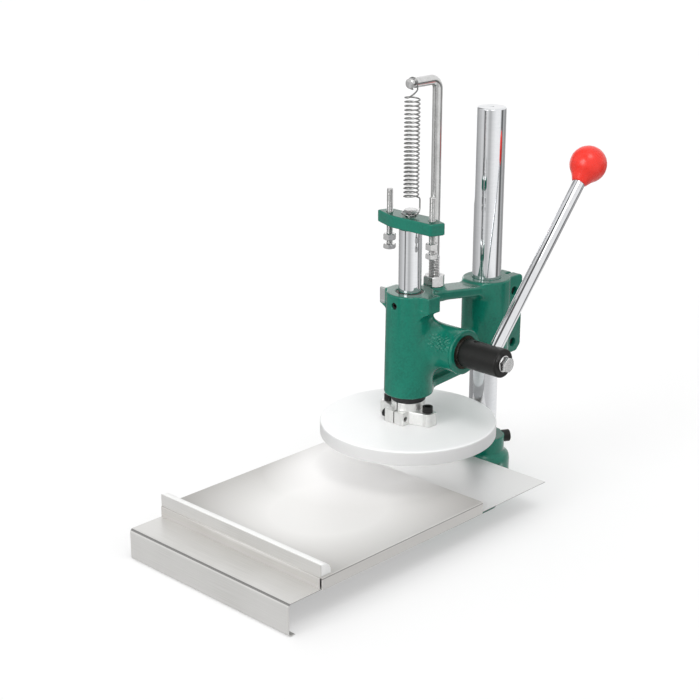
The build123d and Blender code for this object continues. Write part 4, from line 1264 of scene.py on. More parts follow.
def put(
    name: str,
    shell: Shell,
    body: str | None,
    slot: str,
    replaced: str,
    finish: Finish | None = None,
    sharp: float = 30.0,
) -> bpy.types.Object:
    """Makes a piece of the press from a shell, in metres.

    Args:
        name: Name of the piece.
        shell: Its surface in millimetres.
        body: Body that it rides on, or None for a piece that rides on none.
        slot: Material slot in the record.
        replaced: Frame node that it stands for.
        finish: Its finish, or None for the slot's own.
        sharp: Angle between faces above which an edge is drawn sharp, in degrees.

    Returns:
        The new object.
    """
    shell.outward()
    mesh = bpy.data.meshes.new(name)
    corners = np.concatenate([shell.quads.ravel(), shell.tris.ravel()]).astype(np.int32)
    sizes = np.repeat([4, 3], [len(shell.quads), len(shell.tris)]).astype(np.int32)
    starts = np.concatenate([[0], np.cumsum(sizes)[:-1]]).astype(np.int32)
    mesh.vertices.add(len(shell.points))
    mesh.vertices.foreach_set("co", (shell.points * MM).astype(np.float32).ravel())
    mesh.loops.add(len(corners))
    mesh.loops.foreach_set("vertex_index", corners)
    mesh.polygons.add(len(sizes))
    mesh.polygons.foreach_set("loop_start", starts)
    mesh.polygons.foreach_set("use_smooth", np.ones(len(sizes), dtype=bool))
    mesh.update(calc_edges=True)
    mesh.validate()
    for mark, values in shell.marks.items():
        mesh.attributes.new(mark, "FLOAT", "POINT").data.foreach_set("value", values.astype(np.float32))
    if shell.normals is None:
        mesh.set_sharp_from_angle(angle=math.radians(sharp))
    else:
        mesh.normals_split_custom_set_from_vertices(shell.normals)
    mesh.materials.append((finish or SLOT_FINISH[slot]).material())
    piece = bpy.data.objects.new(name, mesh)
    bpy.context.scene.collection.objects.link(piece)
    if body is not None:
        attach(piece, body)
    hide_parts(replaced)
    log.info("%s: %d points for %s", name, len(shell.points), replaced)
    return piece


# Sub-assemblies


@dataclass
class BaseUnit:
    """Base casting with its round socket, the column, and the screw that holds the column."""

    width: float = 172.0
    front: float = -80.0
    back: float = 82.0
    thick: float = 27.0
    corner: float = 14.0
    edge: float = 3.0
    fillet: float = 3.0
    neck: float = 75.0
    neck_fillet: float = 14.0
    plinth: float = 36.5
    plinth_top: float = 30.3
    flare_top: float = 36.0
    flare_edge: float = 1.0
    flare_fillet: float = 2.0
    socket_radius: float = 29.8
    socket_top: float = 57.5
    socket_edge: float = 1.6
    socket_fillet: float = 2.5
    column_ends: Span = (4.0, 491.6)
    column_bevel: float = 1.5
    column_centre: float = 3.2
    screw_turn: float = 60.0
    screw_face: float = 28.6
    screw_z: float = 50.0
    screw_rim: float = 0.8
    head_gap: float = 0.5
    head_rim: float = 0.6
    pad_radius: float = 11.0
    pad_x: float = 58.0
    pad_rows: tuple[float, ...] = (-62.0, -28.0, 62.0)
    pad_top: float = 38.8
    pad_edge: float = 1.0
    bolt_x: float = 66.0
    bolt_y: float = 62.0
    bolt_radius: float = 4.2
    bolt_depth: float = 18.0
    below: float = 5.0
    grid: float = 1.6
    margin: float = 3.0

    def from_column(self, p: Array) -> Array:
        """Distance of points from the column's axis."""
        return np.hypot(p[:, 0], p[:, 1] - COLUMN_Y)

    def plan(self, p: Array) -> Array:
        """Distance to the outline from above: a rounded slab, a tapered neck and the plinth's circle.

        Args:
            p: Points.

        Returns:
            The distances.
        """
        middle = (self.front + self.back) / 2
        slab = round_plan(p[:, :2] - (0, middle), (self.width / 2, (self.back - self.front) / 2), self.corner)
        lean = (self.neck - self.plinth) / (COLUMN_Y - self.back)
        flank = np.abs(p[:, 0]) - self.neck + lean * np.maximum(p[:, 1] - self.back, 0)
        neck = np.maximum(flank / math.hypot(1.0, lean), between(p[:, 1], middle, COLUMN_Y))
        return melted(melted(slab, neck, self.neck_fillet), self.from_column(p) - self.plinth, self.fillet)

    def socket(self, p: Array) -> Array:
        """Distance to the plinth, its coned shoulder and the socket above it.

        Args:
            p: Points.

        Returns:
            The distances.
        """
        off = self.from_column(p)
        fall = (self.plinth - self.socket_radius) / (self.flare_top - self.plinth_top)
        cone = (off - self.socket_radius - fall * (self.flare_top - p[:, 2])) / math.hypot(1.0, fall)
        shoulder = trimmed(off - self.plinth, cone, self.flare_fillet)
        foot = rounded([shoulder, between(p[:, 2], self.edge, self.flare_top)], self.flare_edge)
        wall = [off - self.socket_radius, between(p[:, 2], self.edge, self.socket_top)]
        return melted(foot, rounded(wall, self.socket_edge), self.socket_fillet)

    def field(self, p: Array) -> Array:
        """Distance to the casting: the plan raised to its thickness, socket and pads, then the cuts.

        Args:
            p: Points.

        Returns:
            The distances.
        """
        body = rounded([self.plan(p), between(p[:, 2], 0.0, self.thick)], self.edge)
        body = melted(body, self.socket(p), self.fillet)
        pad_ends = (self.thick - self.below, self.pad_top)
        for side in (-1, 1):
            for row in self.pad_rows:
                pad = round_bar(p, 2, (side * self.pad_x, row), self.pad_radius, pad_ends, self.pad_edge)
                body = melted(body, pad, self.fillet)
            for row in (-1, 1):
                place = (side * self.bolt_x, row * self.bolt_y)
                body = drilled(body, p, 2, place, self.bolt_radius, (-self.below, self.bolt_depth))
        bore = [self.from_column(p) - COLUMN_RADIUS - BORE_GAP, self.column_ends[0] - p[:, 2]]
        body = carved(body, rounded(bore, TOOL_EDGE), self.socket_edge)
        turn = math.radians(self.screw_turn)
        out = p[:, 0] * math.cos(turn) + (p[:, 1] - COLUMN_Y) * math.sin(turn)
        beside = (p[:, 1] - COLUMN_Y) * math.cos(turn) - p[:, 0] * math.sin(turn)
        off = np.hypot(beside, p[:, 2] - self.screw_z)
        body = carved(body, np.maximum(off - CAP_M10.dia / 2 - BORE_GAP, -out), self.screw_rim)
        seat = np.maximum(off - CAP_M10.head / 2 - self.head_gap, self.screw_face - out)
        return carved(body, seat, self.head_rim)

    def column(self) -> Shell:
        """Column with a bevelled top and a turning centre in it.

        Returns:
            The closed surface.
        """
        low, high = self.column_ends
        radius, bevel, centre, drill = COLUMN_RADIUS, self.column_bevel, self.column_centre, 0.4
        foot = [(0.0, low), (radius, low), (radius, high - bevel)]
        corners = [*foot, (radius - bevel, high), (centre, high), (drill, high - centre)]
        return turned(soft_corners(corners, (0.5, 0.8, 0.8, 0.3)), 144)

    def build(self) -> None:
        """Makes the pieces of the base."""
        far = self.margin
        low = (-self.width / 2 - far, self.front - far, -far)
        high = (self.width / 2 + far, COLUMN_Y + self.plinth + far, self.socket_top + far)
        casting = cast_skin(self.field, low, high, self.grid)
        put("base_casting_painted", casting, "base", "green_paint", "base_casting")
        put("column_bar", placed(self.column(), (0, COLUMN_Y, 0)), "base", "chrome", "column")
        turn, tip_gap = math.radians(self.screw_turn), 0.1
        out = np.array([math.cos(turn), math.sin(turn), 0.0])
        screw = CAP_M10.shell(self.screw_face - COLUMN_RADIUS - tip_gap)
        seat = np.array([0.0, COLUMN_Y, self.screw_z]) + self.screw_face * out
        put("base_clamp_cap_screw", placed(screw, seat, out), "base", "black_steel", "base_clamp_screw")


@dataclass
class TrayUnit:
    """Tray: one stainless sheet with its front folded down and a lip folded back."""

    half: float = 134.0
    front: float = -338.5
    back: float = 110.0
    lip: float = 9.0
    fold: float = 4.0

    def build(self) -> None:
        """Makes the tray: its folded line in the YZ plane carried along X."""
        mid = SHEET / 2
        front, level = self.front + mid, TRAY_TOP - mid
        corners = [(self.back, level), (front, level), (front, mid), (front + self.lip, mid)]
        line = soft_corners(corners, (self.fold, self.fold), 12)
        sheet = folded_sheet(line, (-self.half, self.half), SHEET, 0)
        put("tray_folded_sheet", sheet, "base", "stainless", "tray_sheet", Stock.tray_stainless_painted_light)


@dataclass
class HeadUnit:
    """Head casting with its clamp, screws and spring post."""

    bottom: float = 156.0
    top: float = 286.0
    barrel_foot: float = 30.5
    barrel_top: float = 28.7
    barrel_edge: float = 2.2
    lug_half: float = 40.0
    lug_width: float = 11.0
    lug_corner: float = 1.6
    lug_height: float = 20.0
    lug_fillet: float = 5.0
    gusset_half: float = 38.0
    gusset_drop: float = 6.0
    gusset_fillet: float = 2.5
    arm_half: float = 18.0
    arm_front: float = 286.0
    arm_back: float = 265.0
    arm_thick: float = 12.0
    arm_edge: float = 3.0
    arm_fillet: float = 1.0
    flange_back: float = 165.0
    flange_thick: float = 10.0
    web_half: float = 6.0
    web_top: float = 205.0
    web_edge: float = 2.0
    web_fillet: float = 7.0
    bridge_fillet: float = 8.0
    clamp_radius: float = 31.0
    clamp_ends: Span = (165.0, 273.0)
    clamp_edge: float = 2.5
    clamp_rim: float = 1.5
    clamp_fillet: float = 9.0
    ear_half: float = 16.0
    ear_back: float = 202.5
    ear_top: float = 269.0
    ear_edge: float = 1.5
    ear_bevels: Span = (8.0, 3.0)
    ear_bevel_edge: float = 2.0
    ear_fillet: float = 4.0
    slit: float = 3.5
    slit_rim: float = 1.2
    screw_y: float = 186.0
    screw_heights: Span = (179.0, 249.0)
    screw_bore: float = 5.7
    screw_length: float = 28.0
    boss_radius: float = 27.0
    boss_ends: Span = (-30.0, 66.0)
    boss_edge: float = 1.5
    boss_fillet: float = 18.0
    lip: float = 1.0
    lip_width: float = 4.0
    lip_edge: float = 1.2
    lip_fillet: float = 1.0
    pinion_bores: tuple[Span, ...] = ((20.65, -9.4), (14.1, -23.4))
    bush_radius: float = 17.05
    bush_rim: float = 1.2
    post_y: float = 44.5
    post_boss: float = 14.0
    post_boss_ends: Span = (266.5, 284.0)
    post_boss_fillet: float = 5.0
    post_bore: float = 7.05
    post_drill: float = 20.0
    guide_z: float = 273.0
    guide_bore: float = 4.1
    guide_sink: float = 1.8
    guide_size: Span = (8.0, 11.0)
    post_radius: float = 6.0
    post_thread: float = 14.0
    post_pitch: float = 2.0
    post_thread_top: float = 322.0
    post_height: float = 538.0
    post_bend: float = 12.0
    post_tip: float = -6.5
    post_bevel: float = 1.2
    post_groove: float = 3.0
    groove_depth: float = 0.8
    groove_slope: float = 0.4
    nut_flats: float = 24.0
    nut_height: float = 13.5
    nut_turn: float = 33.0
    rough_middle: Spot = (46.0, 4.0, 229.0)
    rough_size: Spot = (26.0, 15.0, 14.0)
    rough_fade: float = 1.6
    lump_height: float = 0.32
    lump_waves: tuple[Spot, ...] = ((0.9, 0.5, 1.1), (-0.6, 1.3, 0.5), (1.2, -0.4, -0.9))
    grid: float = 1.3
    margin: float = 4.0
    far: float = 40.0
    out: float = 90.0

    def leaning(self, p: Array, front: float, back: float, thick: float) -> Array:
        """Distance to a plate from the barrel to the clamp whose height changes evenly on the way.

        Args:
            p: Points.
            front: Upper face at the barrel's middle.
            back: Upper face at the column's middle.
            thick: Thickness.

        Returns:
            The distances.
        """
        lean = (back - front) / COLUMN_Y
        tall = (p[:, 2] - front - lean * p[:, 1] + thick / 2) / math.hypot(1.0, lean)
        sides = [np.abs(p[:, 0]) - self.arm_half, np.abs(tall) - thick / 2, between(p[:, 1], 0.0, COLUMN_Y)]
        return rounded(sides, self.arm_edge)

    def lugs(self, p: Array) -> Array:
        """Distance to the two stop lugs, a block with rounded corners, with a gusset below each.

        Args:
            p: Points.

        Returns:
            The distances.
        """
        x, overlap = np.abs(p[:, 0]), 2.0
        low = self.top - self.lug_height
        plan = round_plan(p[:, :2], (self.lug_half, self.lug_width), self.lug_corner)
        body = rounded([plan, between(p[:, 2], low, self.top)], self.lug_corner)
        fall = self.gusset_drop / (self.gusset_half - self.barrel_top)
        under = low - self.gusset_drop + fall * (x - self.barrel_top) - p[:, 2]
        upright = np.maximum(under / math.hypot(1.0, fall), p[:, 2] - low - overlap)
        gusset = np.maximum(upright, np.maximum(plan, x - self.gusset_half))
        return melted(body, gusset, self.gusset_fillet)

    def ground(self, p: Array) -> Array:
        """Height of the casting's underside, which climbs evenly from the barrel to the clamp."""
        return self.bottom + (self.flange_back - self.bottom) / COLUMN_Y * p[:, 1]

    def bridge(self, p: Array) -> Array:
        """Distance to the upper arm, the lower flange and the web that stands on it.

        Args:
            p: Points.

        Returns:
            The distances.
        """
        arm = self.leaning(p, self.arm_front, self.arm_back, self.arm_thick)
        thick, overlap = self.flange_thick, 2.0
        flange = self.leaning(p, self.bottom + thick, self.flange_back + thick, thick)
        sides = [
            np.abs(p[:, 0]) - self.web_half,
            between(p[:, 1], 0.0, COLUMN_Y),
            np.maximum(p[:, 2] - self.web_top, self.ground(p) + overlap - p[:, 2]),
        ]
        return melted(melted(flange, rounded(sides, self.web_edge), self.web_fillet), arm, self.arm_fillet)

    def clamp(self, p: Array) -> Array:
        """Distance to the clamp round the column and its two ears, bevelled at the back.

        Args:
            p: Points.

        Returns:
            The distances.
        """
        low = self.clamp_ends[0]
        ring = round_bar(p, 2, (0.0, COLUMN_Y), self.clamp_radius, self.clamp_ends, self.clamp_edge)
        corners = ((-self.ear_half, COLUMN_Y, low), (self.ear_half, self.ear_back, self.ear_top))
        ears = block(p, *corners, self.ear_edge)
        for level, sign, bevel in zip((low, self.ear_top), (-1, 1), self.ear_bevels):
            corner = (sign * (p[:, 2] - level) + p[:, 1] - self.ear_back + bevel) / math.sqrt(2)
            ears = trimmed(ears, corner, self.ear_bevel_edge)
        return melted(ring, ears, self.ear_fillet)

    def roughness(self, p: Array) -> Array:
        """How rough the casting is at points, from 0 to 1."""
        away = np.linalg.norm((p - self.rough_middle) / np.array(self.rough_size), axis=1)
        return np.clip(self.rough_fade - self.rough_fade * away, 0, 1)

    def lumps(self, p: Array) -> Array:
        """Height of the rough casting at the boss's root: three crossed waves that fade away from it."""
        waves = sum(np.sin(p @ wave) for wave in self.lump_waves)
        return self.lump_height * self.roughness(p) * waves

    def field(self, p: Array) -> Array:
        """Distance to the casting: barrel, lugs, bridge, clamp and bosses melted together, then the cuts.

        Args:
            p: Points.

        Returns:
            The distances.
        """
        pinion, ends = (PINION_Y, PINION_Z), (self.bottom, self.top)
        taper = self.barrel_top - self.barrel_foot
        body = round_bar(p, 2, (0.0, 0.0), self.barrel_foot, ends, self.barrel_edge, taper)
        body = melted(body, self.lugs(p), self.lug_fillet)
        body = melted(body, self.bridge(p), self.bridge_fillet)
        body = melted(body, self.clamp(p), self.clamp_fillet)
        post = round_bar(p, 2, (0.0, self.post_y), self.post_boss, self.post_boss_ends, self.boss_edge)
        body = melted(body, post, self.post_boss_fillet)
        boss = round_bar(p, 0, pinion, self.boss_radius, self.boss_ends, self.boss_edge)
        body = melted(body, boss, self.boss_fillet) - self.lumps(p)
        lip_ends = (self.boss_ends[1] - self.lip_width, self.boss_ends[1])
        lip = round_bar(p, 0, pinion, self.boss_radius + self.lip, lip_ends, self.lip_edge)
        body = melted(body, lip, self.lip_fillet)
        ground = self.ground(np.clip(p, 0, COLUMN_Y))
        return self.cut(p, np.maximum(body, np.maximum(ground - p[:, 2], p[:, 2] - self.top)))

    def cut(self, p: Array, body: Array) -> Array:
        """Distance to the casting after its faces, bores, slit and screw holes are cut.

        Args:
            p: Points.
            body: Distance to the casting before.

        Returns:
            The distances.
        """
        below, above, out, half = self.bottom - self.far, self.top + self.far, self.out, self.slit / 2
        body = drilled(body, p, 2, (0.0, 0.0), self.bush_radius, (below, above), self.bush_rim)
        body = drilled(body, p, 2, (0.0, COLUMN_Y), COLUMN_RADIUS + BORE_GAP, (below, above), self.clamp_rim)
        post_ends = (self.post_boss_ends[0] - self.post_drill, above)
        body = drilled(body, p, 2, (0.0, self.post_y), self.post_bore, post_ends)
        slit = block(p, (-half, COLUMN_Y, below), (half, self.ear_back + self.far, above), TOOL_EDGE)
        body = carved(body, slit, self.slit_rim)
        for radius, start in self.pinion_bores:
            body = drilled(body, p, 0, (PINION_Y, PINION_Z), radius, (start, out))
        body = drilled(body, p, 1, (0.0, self.guide_z), self.guide_bore, (-out, -self.bush_radius))
        for height in self.screw_heights:
            body = drilled(body, p, 0, (self.screw_y, height), self.screw_bore, (-out, out))
        return body

    def casting(self) -> Shell:
        """Skin of the casting, the left lug's worn faces marked bare and the boss's root marked rough.

        Returns:
            The closed surface.
        """
        far, bare_edge, fade = self.margin, 1.0, 2.0
        low = (-self.lug_half - far, -self.barrel_foot - far, self.bottom - far)
        high = (self.boss_ends[1] + far, self.ear_back + far, self.top + far)
        skin = cast_skin(self.field, low, high, self.grid)
        p = skin.points
        out = np.clip((-p[:, 0] - self.barrel_top - bare_edge) / fade, 0, 1)
        skin.marks["bare"] = out * (p[:, 2] > self.top - self.lug_height + bare_edge)
        skin.marks["top"] *= p[:, 2] > PINION_Z + self.boss_radius + self.lip
        skin.marks["rough"] = self.roughness(p)
        return skin

    def post(self) -> Shell:
        """Bent round bar, threaded at its foot and grooved near its tip.

        The path is a line up, a quarter circle and a line forward. The radius is that of the
        thread below, of the bar above, and a straight-sided dip in the groove. The mark groove
        paints shade into the thread's roots.

        Returns:
            The closed surface.
        """
        columns, bend, shade_in_grooves = 36, self.post_bend, 0.5
        middle_y, middle_z = self.post_y - bend, self.post_height - bend
        rise = np.linspace(self.post_boss_ends[0] + 1, self.post_thread_top, 240)
        shaft = np.linspace(self.post_thread_top + 0.2, middle_z, 60)
        turn = np.linspace(0, math.pi / 2, 25)[1:]
        run = np.linspace(middle_y, self.post_tip, 120)[1:]
        upright = np.full(len(rise) + len(shaft), self.post_y)
        y = np.concatenate([upright, middle_y + bend * np.cos(turn), run])
        z = np.concatenate([rise, shaft, middle_z + bend * np.sin(turn), np.full(len(run), self.post_height)])
        path = np.stack([np.zeros_like(y), y, z], axis=-1)
        size = np.full((len(path), columns), self.post_radius)
        cone = self.post_radius + np.maximum(self.post_thread_top - rise, 0)
        thread = thread_radii(-round_angles(columns), rise, self.post_thread, self.post_pitch)
        size[: len(rise)] = np.minimum(thread, cone[:, None])
        slope, bevel = self.groove_slope, self.post_bevel
        dip = self.groove_depth * np.clip((self.post_groove + slope / 2 - np.abs(run)) / slope, 0, 1)
        end = np.clip((self.post_tip + bevel - run) / bevel, 0, 1)
        size[-len(run) :] = (self.post_radius - dip - bevel * (1 - np.sqrt(1 - end**2)))[:, None]
        side = np.broadcast_to(np.array([1.0, 0.0, 0.0]), path.shape)
        post = tube_shell(path, side, size, columns)
        deep = groove_depth(post.points, [(0.0, self.post_y)], self.post_thread / 2, 1.0)
        # Painted shade in the thread's roots
        post.marks["groove"] = shade_in_grooves * deep * (post.points[:, 2] < self.post_thread_top - 1)
        return post

    def build(self) -> None:
        """Makes the pieces of the head."""
        put("head_casting_painted", self.casting(), "head", "green_paint", "head_casting")
        screw = CAP_M10.shell(self.screw_length)
        seats = [(-self.ear_half, self.screw_y, height) for height in self.screw_heights]
        screws = joined([placed(screw, seat, (-1, 0, 0)) for seat in seats])
        put("head_clamp_cap_screws", screws, "head", "black_steel", "head_clamp_screws")
        mouth = (0, -self.barrel_top + self.guide_sink, self.guide_z)
        guide = placed(grub_screw(*self.guide_size), mouth, (0, -1, 0))
        put("guide_grub_screw", guide, "head", "black_steel", "guide_screw")
        put("spring_post_bar", self.post(), "head", "zinc_steel", "spring_post")
        seat = self.post_boss_ends[1]
        nut = nut_shell(self.nut_flats, self.post_thread, seat, seat + self.nut_height)
        nut = placed(nut, (0, self.post_y, 0), turn=self.nut_turn)
        put("post_lock_nut", nut, "head", "zinc_steel", "post_nut")


@dataclass
class ReturnSpring:
    """One wire: an eye round the crossbar bolt, a tail, the coil and a hook over the post.

    The speeds are those at the two ends of each eased bend.
    """

    wire: float = 1.8
    coil: float = 8.75
    coil_ends: Span = (402.0, 522.0)
    first_angle: float = 89.0
    turns: float = 24.0 + 181.0 / 360.0
    eye: float = 10.5
    eye_height: float = 382.0
    eye_shift: float = 2.0
    eye_sweep: Span = (-150.0, 60.0)
    eye_tilt: float = 5.0
    eye_sink: float = 0.8
    eye_top: float = 396.0
    climb_speeds: Span = (7.0, 6.0)
    tail_angle: float = 44.0
    tail_ends: Span = (391.0, 400.2)
    bend_speeds: Span = (6.0, 9.0)
    rise_speeds: Span = (10.0, 9.0)
    hook: float = 6.5
    hook_turn: float = 1.5 * math.pi
    hook_side: float = 1.4
    hook_height: float = 538.0
    hook_gap: float = 2.0

    def path(self) -> tuple[Array, Array]:
        """Middle of the wire, and at each point a direction across it.

        The eye is a tilted circle, lowest in front, the coil a helix, and the hook three quarters
        of a circle round the post; cubics ease one into the next. The direction across points
        away from the coil's axis up to the coil's end, where it has come round to -Y, and stays so.

        Returns:
            The points and the directions.
        """
        up, tail = np.array([0.0, 0.0, 1.0]), math.radians(self.tail_angle)
        front = tail - math.pi / 2
        lean = np.radians(np.linspace(*self.eye_sweep, 60))
        angle = front + lean
        shift = -self.eye_shift * np.array([math.cos(front), math.sin(front), 0])
        tilt = np.where(lean > 0, self.eye_tilt, self.eye_sink) * (1 - np.cos(lean))
        level = self.eye_height + tilt
        ring = np.stack([self.eye * np.cos(angle), self.eye * np.sin(angle), level], axis=-1) + shift
        start = ring[0] - unit(ring[1] - ring[0]) * self.wire
        low = np.array([self.eye * math.cos(tail), self.eye * math.sin(tail), self.tail_ends[0]])
        high = np.array([low[0], low[1], self.tail_ends[1]])
        leave, arrive = self.climb_speeds
        climb = eased(ring[-1], leave * unit(ring[-1] - ring[-2]), low, arrive * up, 16)
        straight = np.linspace(low, high, 8)[1:]
        sweep = math.radians(self.first_angle) + np.linspace(0, FULL_TURN * self.turns, 1200)
        height = np.linspace(*self.coil_ends, 1200)
        coil = np.stack([self.coil * np.cos(sweep), self.coil * np.sin(sweep), height], axis=-1)
        leave, arrive = self.bend_speeds
        bend = eased(high, leave * up, coil[0], arrive * unit(coil[1] - coil[0]), 20)
        foot = np.array([self.hook, self.hook_side, self.hook_height - self.hook])
        leave, arrive = self.rise_speeds
        rise = eased(coil[-1], leave * unit(coil[-1] - coil[-2]), foot, arrive * up, 30)
        loop = np.linspace(0, self.hook_turn, 60)
        across = self.hook_side * (1 - 2 * loop / loop[-1])
        level = self.hook_height + self.hook * np.sin(loop)
        hook = np.stack([self.hook * np.cos(loop), across, level], axis=-1)
        end = hook[-1] + unit(hook[-1] - hook[-2]) * self.wire
        path = np.concatenate([start[None], ring, climb, straight, bend, coil[1:], rise, hook, end[None]])
        radial = unit(path * (1.0, 1.0, 0.0))
        after = np.arange(len(path)) >= len(path) - len(hook) - len(rise) - 1
        return path, np.where(after[:, None], (0.0, -1.0, 0.0), radial)

    def build(self) -> None:
        """Makes the spring, stretched between the head and the ram."""
        path, side = self.path()
        wire = tube_shell(path, side, self.wire / 2)
        spring = put("return_spring_wire", wire, None, "spring_steel", "return_spring")
        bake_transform(spring)


@dataclass
class RamUnit:
    """Ram with its rack, the crossbar and stops above, and the collar and press disc below."""

    radius: float = 14.0
    ends: Span = (121.0, 364.5)
    end_bevel: float = 0.6
    rack_ends: Span = (200.3, 282.0)
    rack_tip: float = 12.5
    rack_root: float = 8.0
    rack_flat: float = 0.45
    rack_pitch: float = FULL_TURN
    bar_half: float = 52.0
    bar_width: float = 15.0
    bar_ends: Span = (364.5, 379.5)
    bar_edge: float = 1.8
    bar_corner: float = 3.0
    bar_cuts: tuple[Spot, ...] = ((18.0, -7.0, 915.0), (12.0, 32.0, 720.0))
    bar_drill: float = 9.0
    bar_grid: float = 1.0
    bar_margin: float = 3.0
    bolt_radius: float = 6.0
    bolt_depth: float = 20.0
    bolt_bore: float = 6.3
    bolt_seat: float = 384.5
    bolt_flats: float = 16.0
    bolt_head: float = 3.6
    bolt_turn: float = 44.0
    stop_x: float = 34.0
    stop_dia: float = 8.0
    stop_pitch: float = 1.25
    stop_bore: float = 4.1
    stop_flats: float = 14.0
    stop_turn: float = 31.0
    stop_head: Span = (333.7, 339.7)
    stop_top: float = 408.0
    nut_hole: float = 8.1
    nut_ends: Span = (344.5, 352.5)
    groove_shade_middle: float = 374.0
    groove_shade_half: float = 33.0
    groove_shade_share: float = 0.2
    disc_radius: float = 110.0
    disc_ends: Span = (101.6, 120.5)
    disc_edge: float = 2.5
    collar_radius: float = 21.0
    collar_top: float = 147.0
    collar_edge: float = 0.9
    collar_rim: float = 0.8
    collar_fillet: float = 1.2
    flange_top: float = 137.0
    ear_x: float = 32.0
    ear_radius: float = 9.0
    ear_corner: float = 4.0
    ear_bore: float = 4.1
    waist: float = 15.3
    block_half: float = 15.0
    block_front: float = -27.0
    slit: float = 1.6
    slit_rim: float = 0.6
    clamp_y: float = -21.0
    clamp_bore: float = 3.1
    clamp_length: float = 27.0
    screw_length: float = 28.0
    tool_ends: Span = (90.0, 190.0)
    tool_out: float = 60.0
    collar_box: tuple[Spot, Spot] = ((-45.0, -31.0, 117.0), (45.0, 25.0, 151.0))
    collar_grid: float = 0.8
    ring_gap: float = 0.1
    ring_radius: float = 21.5
    ring_top: float = 155.7
    ring_seam: float = 151.0

    def ram(self) -> Shell:
        """Round bar with rack teeth cut into its back.

        At an angle t from +X the bar's radius is the lesser of its own and the rack's depth over
        sin t, and the depth along the bar is a clipped triangle wave between root and tip.

        Returns:
            The closed surface.
        """
        (low, high), (first, last), end = self.ends, self.rack_ends, self.end_bevel
        step, least = 0.01, 1e-3
        teeth = np.linspace(first - step, last + step, 320)
        heights = np.concatenate([[low, low + end], teeth, [high - end, high]])
        wave = np.abs(2 * (((heights - first) / self.rack_pitch) % 1.0) - 1)
        rise = np.clip((1 + 2 * self.rack_flat) * wave - self.rack_flat, 0, 1)
        depth = self.rack_root + (self.rack_tip - self.rack_root) * rise
        depth = np.where((heights < first) | (heights > last), self.radius, depth)
        sine = np.sin(round_angles(144))[None, :]
        behind = np.where(sine > 0, depth[:, None] / np.maximum(sine, least), self.radius)
        bevel = np.where((heights == low) | (heights == high), end, 0.0)
        return polar_shell(np.minimum(self.radius, behind) - bevel[:, None], heights)

    def bar_field(self, p: Array) -> Array:
        """Distance to the crossbar: a slab in plan with four corners cut off, a height, and three holes.

        Each cut is a pair of slanted sides at the same distance to both sides of the middle, given
        by a direction square to them and by its product with a point on them.

        Args:
            p: Points.

        Returns:
            The distances.
        """
        plan, (low, high) = np.abs(p[:, 1]) - self.bar_width, self.bar_ends
        for across, along, reach in self.bar_cuts:
            cut = (np.abs(across * p[:, 0] + along * p[:, 1]) - reach) / math.hypot(across, along)
            plan = trimmed(plan, cut, self.bar_corner)
        body = rounded([plan, between(p[:, 2], low, high)], self.bar_edge)
        holes = ((0.0, self.bolt_bore), (-self.stop_x, self.stop_bore), (self.stop_x, self.stop_bore))
        for x, radius in holes:
            body = drilled(body, p, 2, (x, 0.0), radius, (low - self.bar_drill, high + self.bar_drill))
        return body

    def collar_field(self, p: Array) -> Array:
        """Distance to the collar: ring, eared flange and clamp block, less bore, slit and holes.

        Args:
            p: Points.

        Returns:
            The distances.
        """
        floor, top, rim, out = self.disc_ends[1], self.flange_top, self.collar_rim, self.tool_out
        x, y = np.abs(p[:, 0]), np.abs(p[:, 1])
        run, fall = self.ear_x - self.block_half, self.waist - self.ear_radius
        slant = (fall * (x - self.block_half) + run * (y - self.waist)) / math.hypot(run, fall)
        plan = np.maximum(np.maximum(y - self.waist, slant), x - self.ear_x)
        ear = round_plan(p[:, :2], (self.ear_x + self.ear_radius, self.ear_radius), self.ear_corner)
        body = rounded([np.minimum(plan, ear), between(p[:, 2], floor, top)], self.collar_edge)
        corners = ((-self.block_half, self.block_front, floor), (self.block_half, 0, top))
        body = melted(body, block(p, *corners, self.collar_edge), self.collar_rim)
        neck = round_bar(p, 2, (0.0, 0.0), self.collar_radius, (floor, self.collar_top), self.collar_edge)
        body = melted(body, neck, self.collar_fillet)
        body = drilled(body, p, 2, (0.0, 0.0), self.radius + BORE_GAP, self.tool_ends, self.collar_edge)
        half, (low, high) = self.slit / 2, self.tool_ends
        body = carved(body, block(p, (-half, -out, low), (half, 0, high), TOOL_EDGE), self.slit_rim)
        body = drilled(body, p, 0, (self.clamp_y, (floor + top) / 2), self.clamp_bore, (-out, out), rim)
        for side in (-1, 1):
            body = drilled(body, p, 2, (side * self.ear_x, 0.0), self.ear_bore, self.tool_ends, rim)
        return body

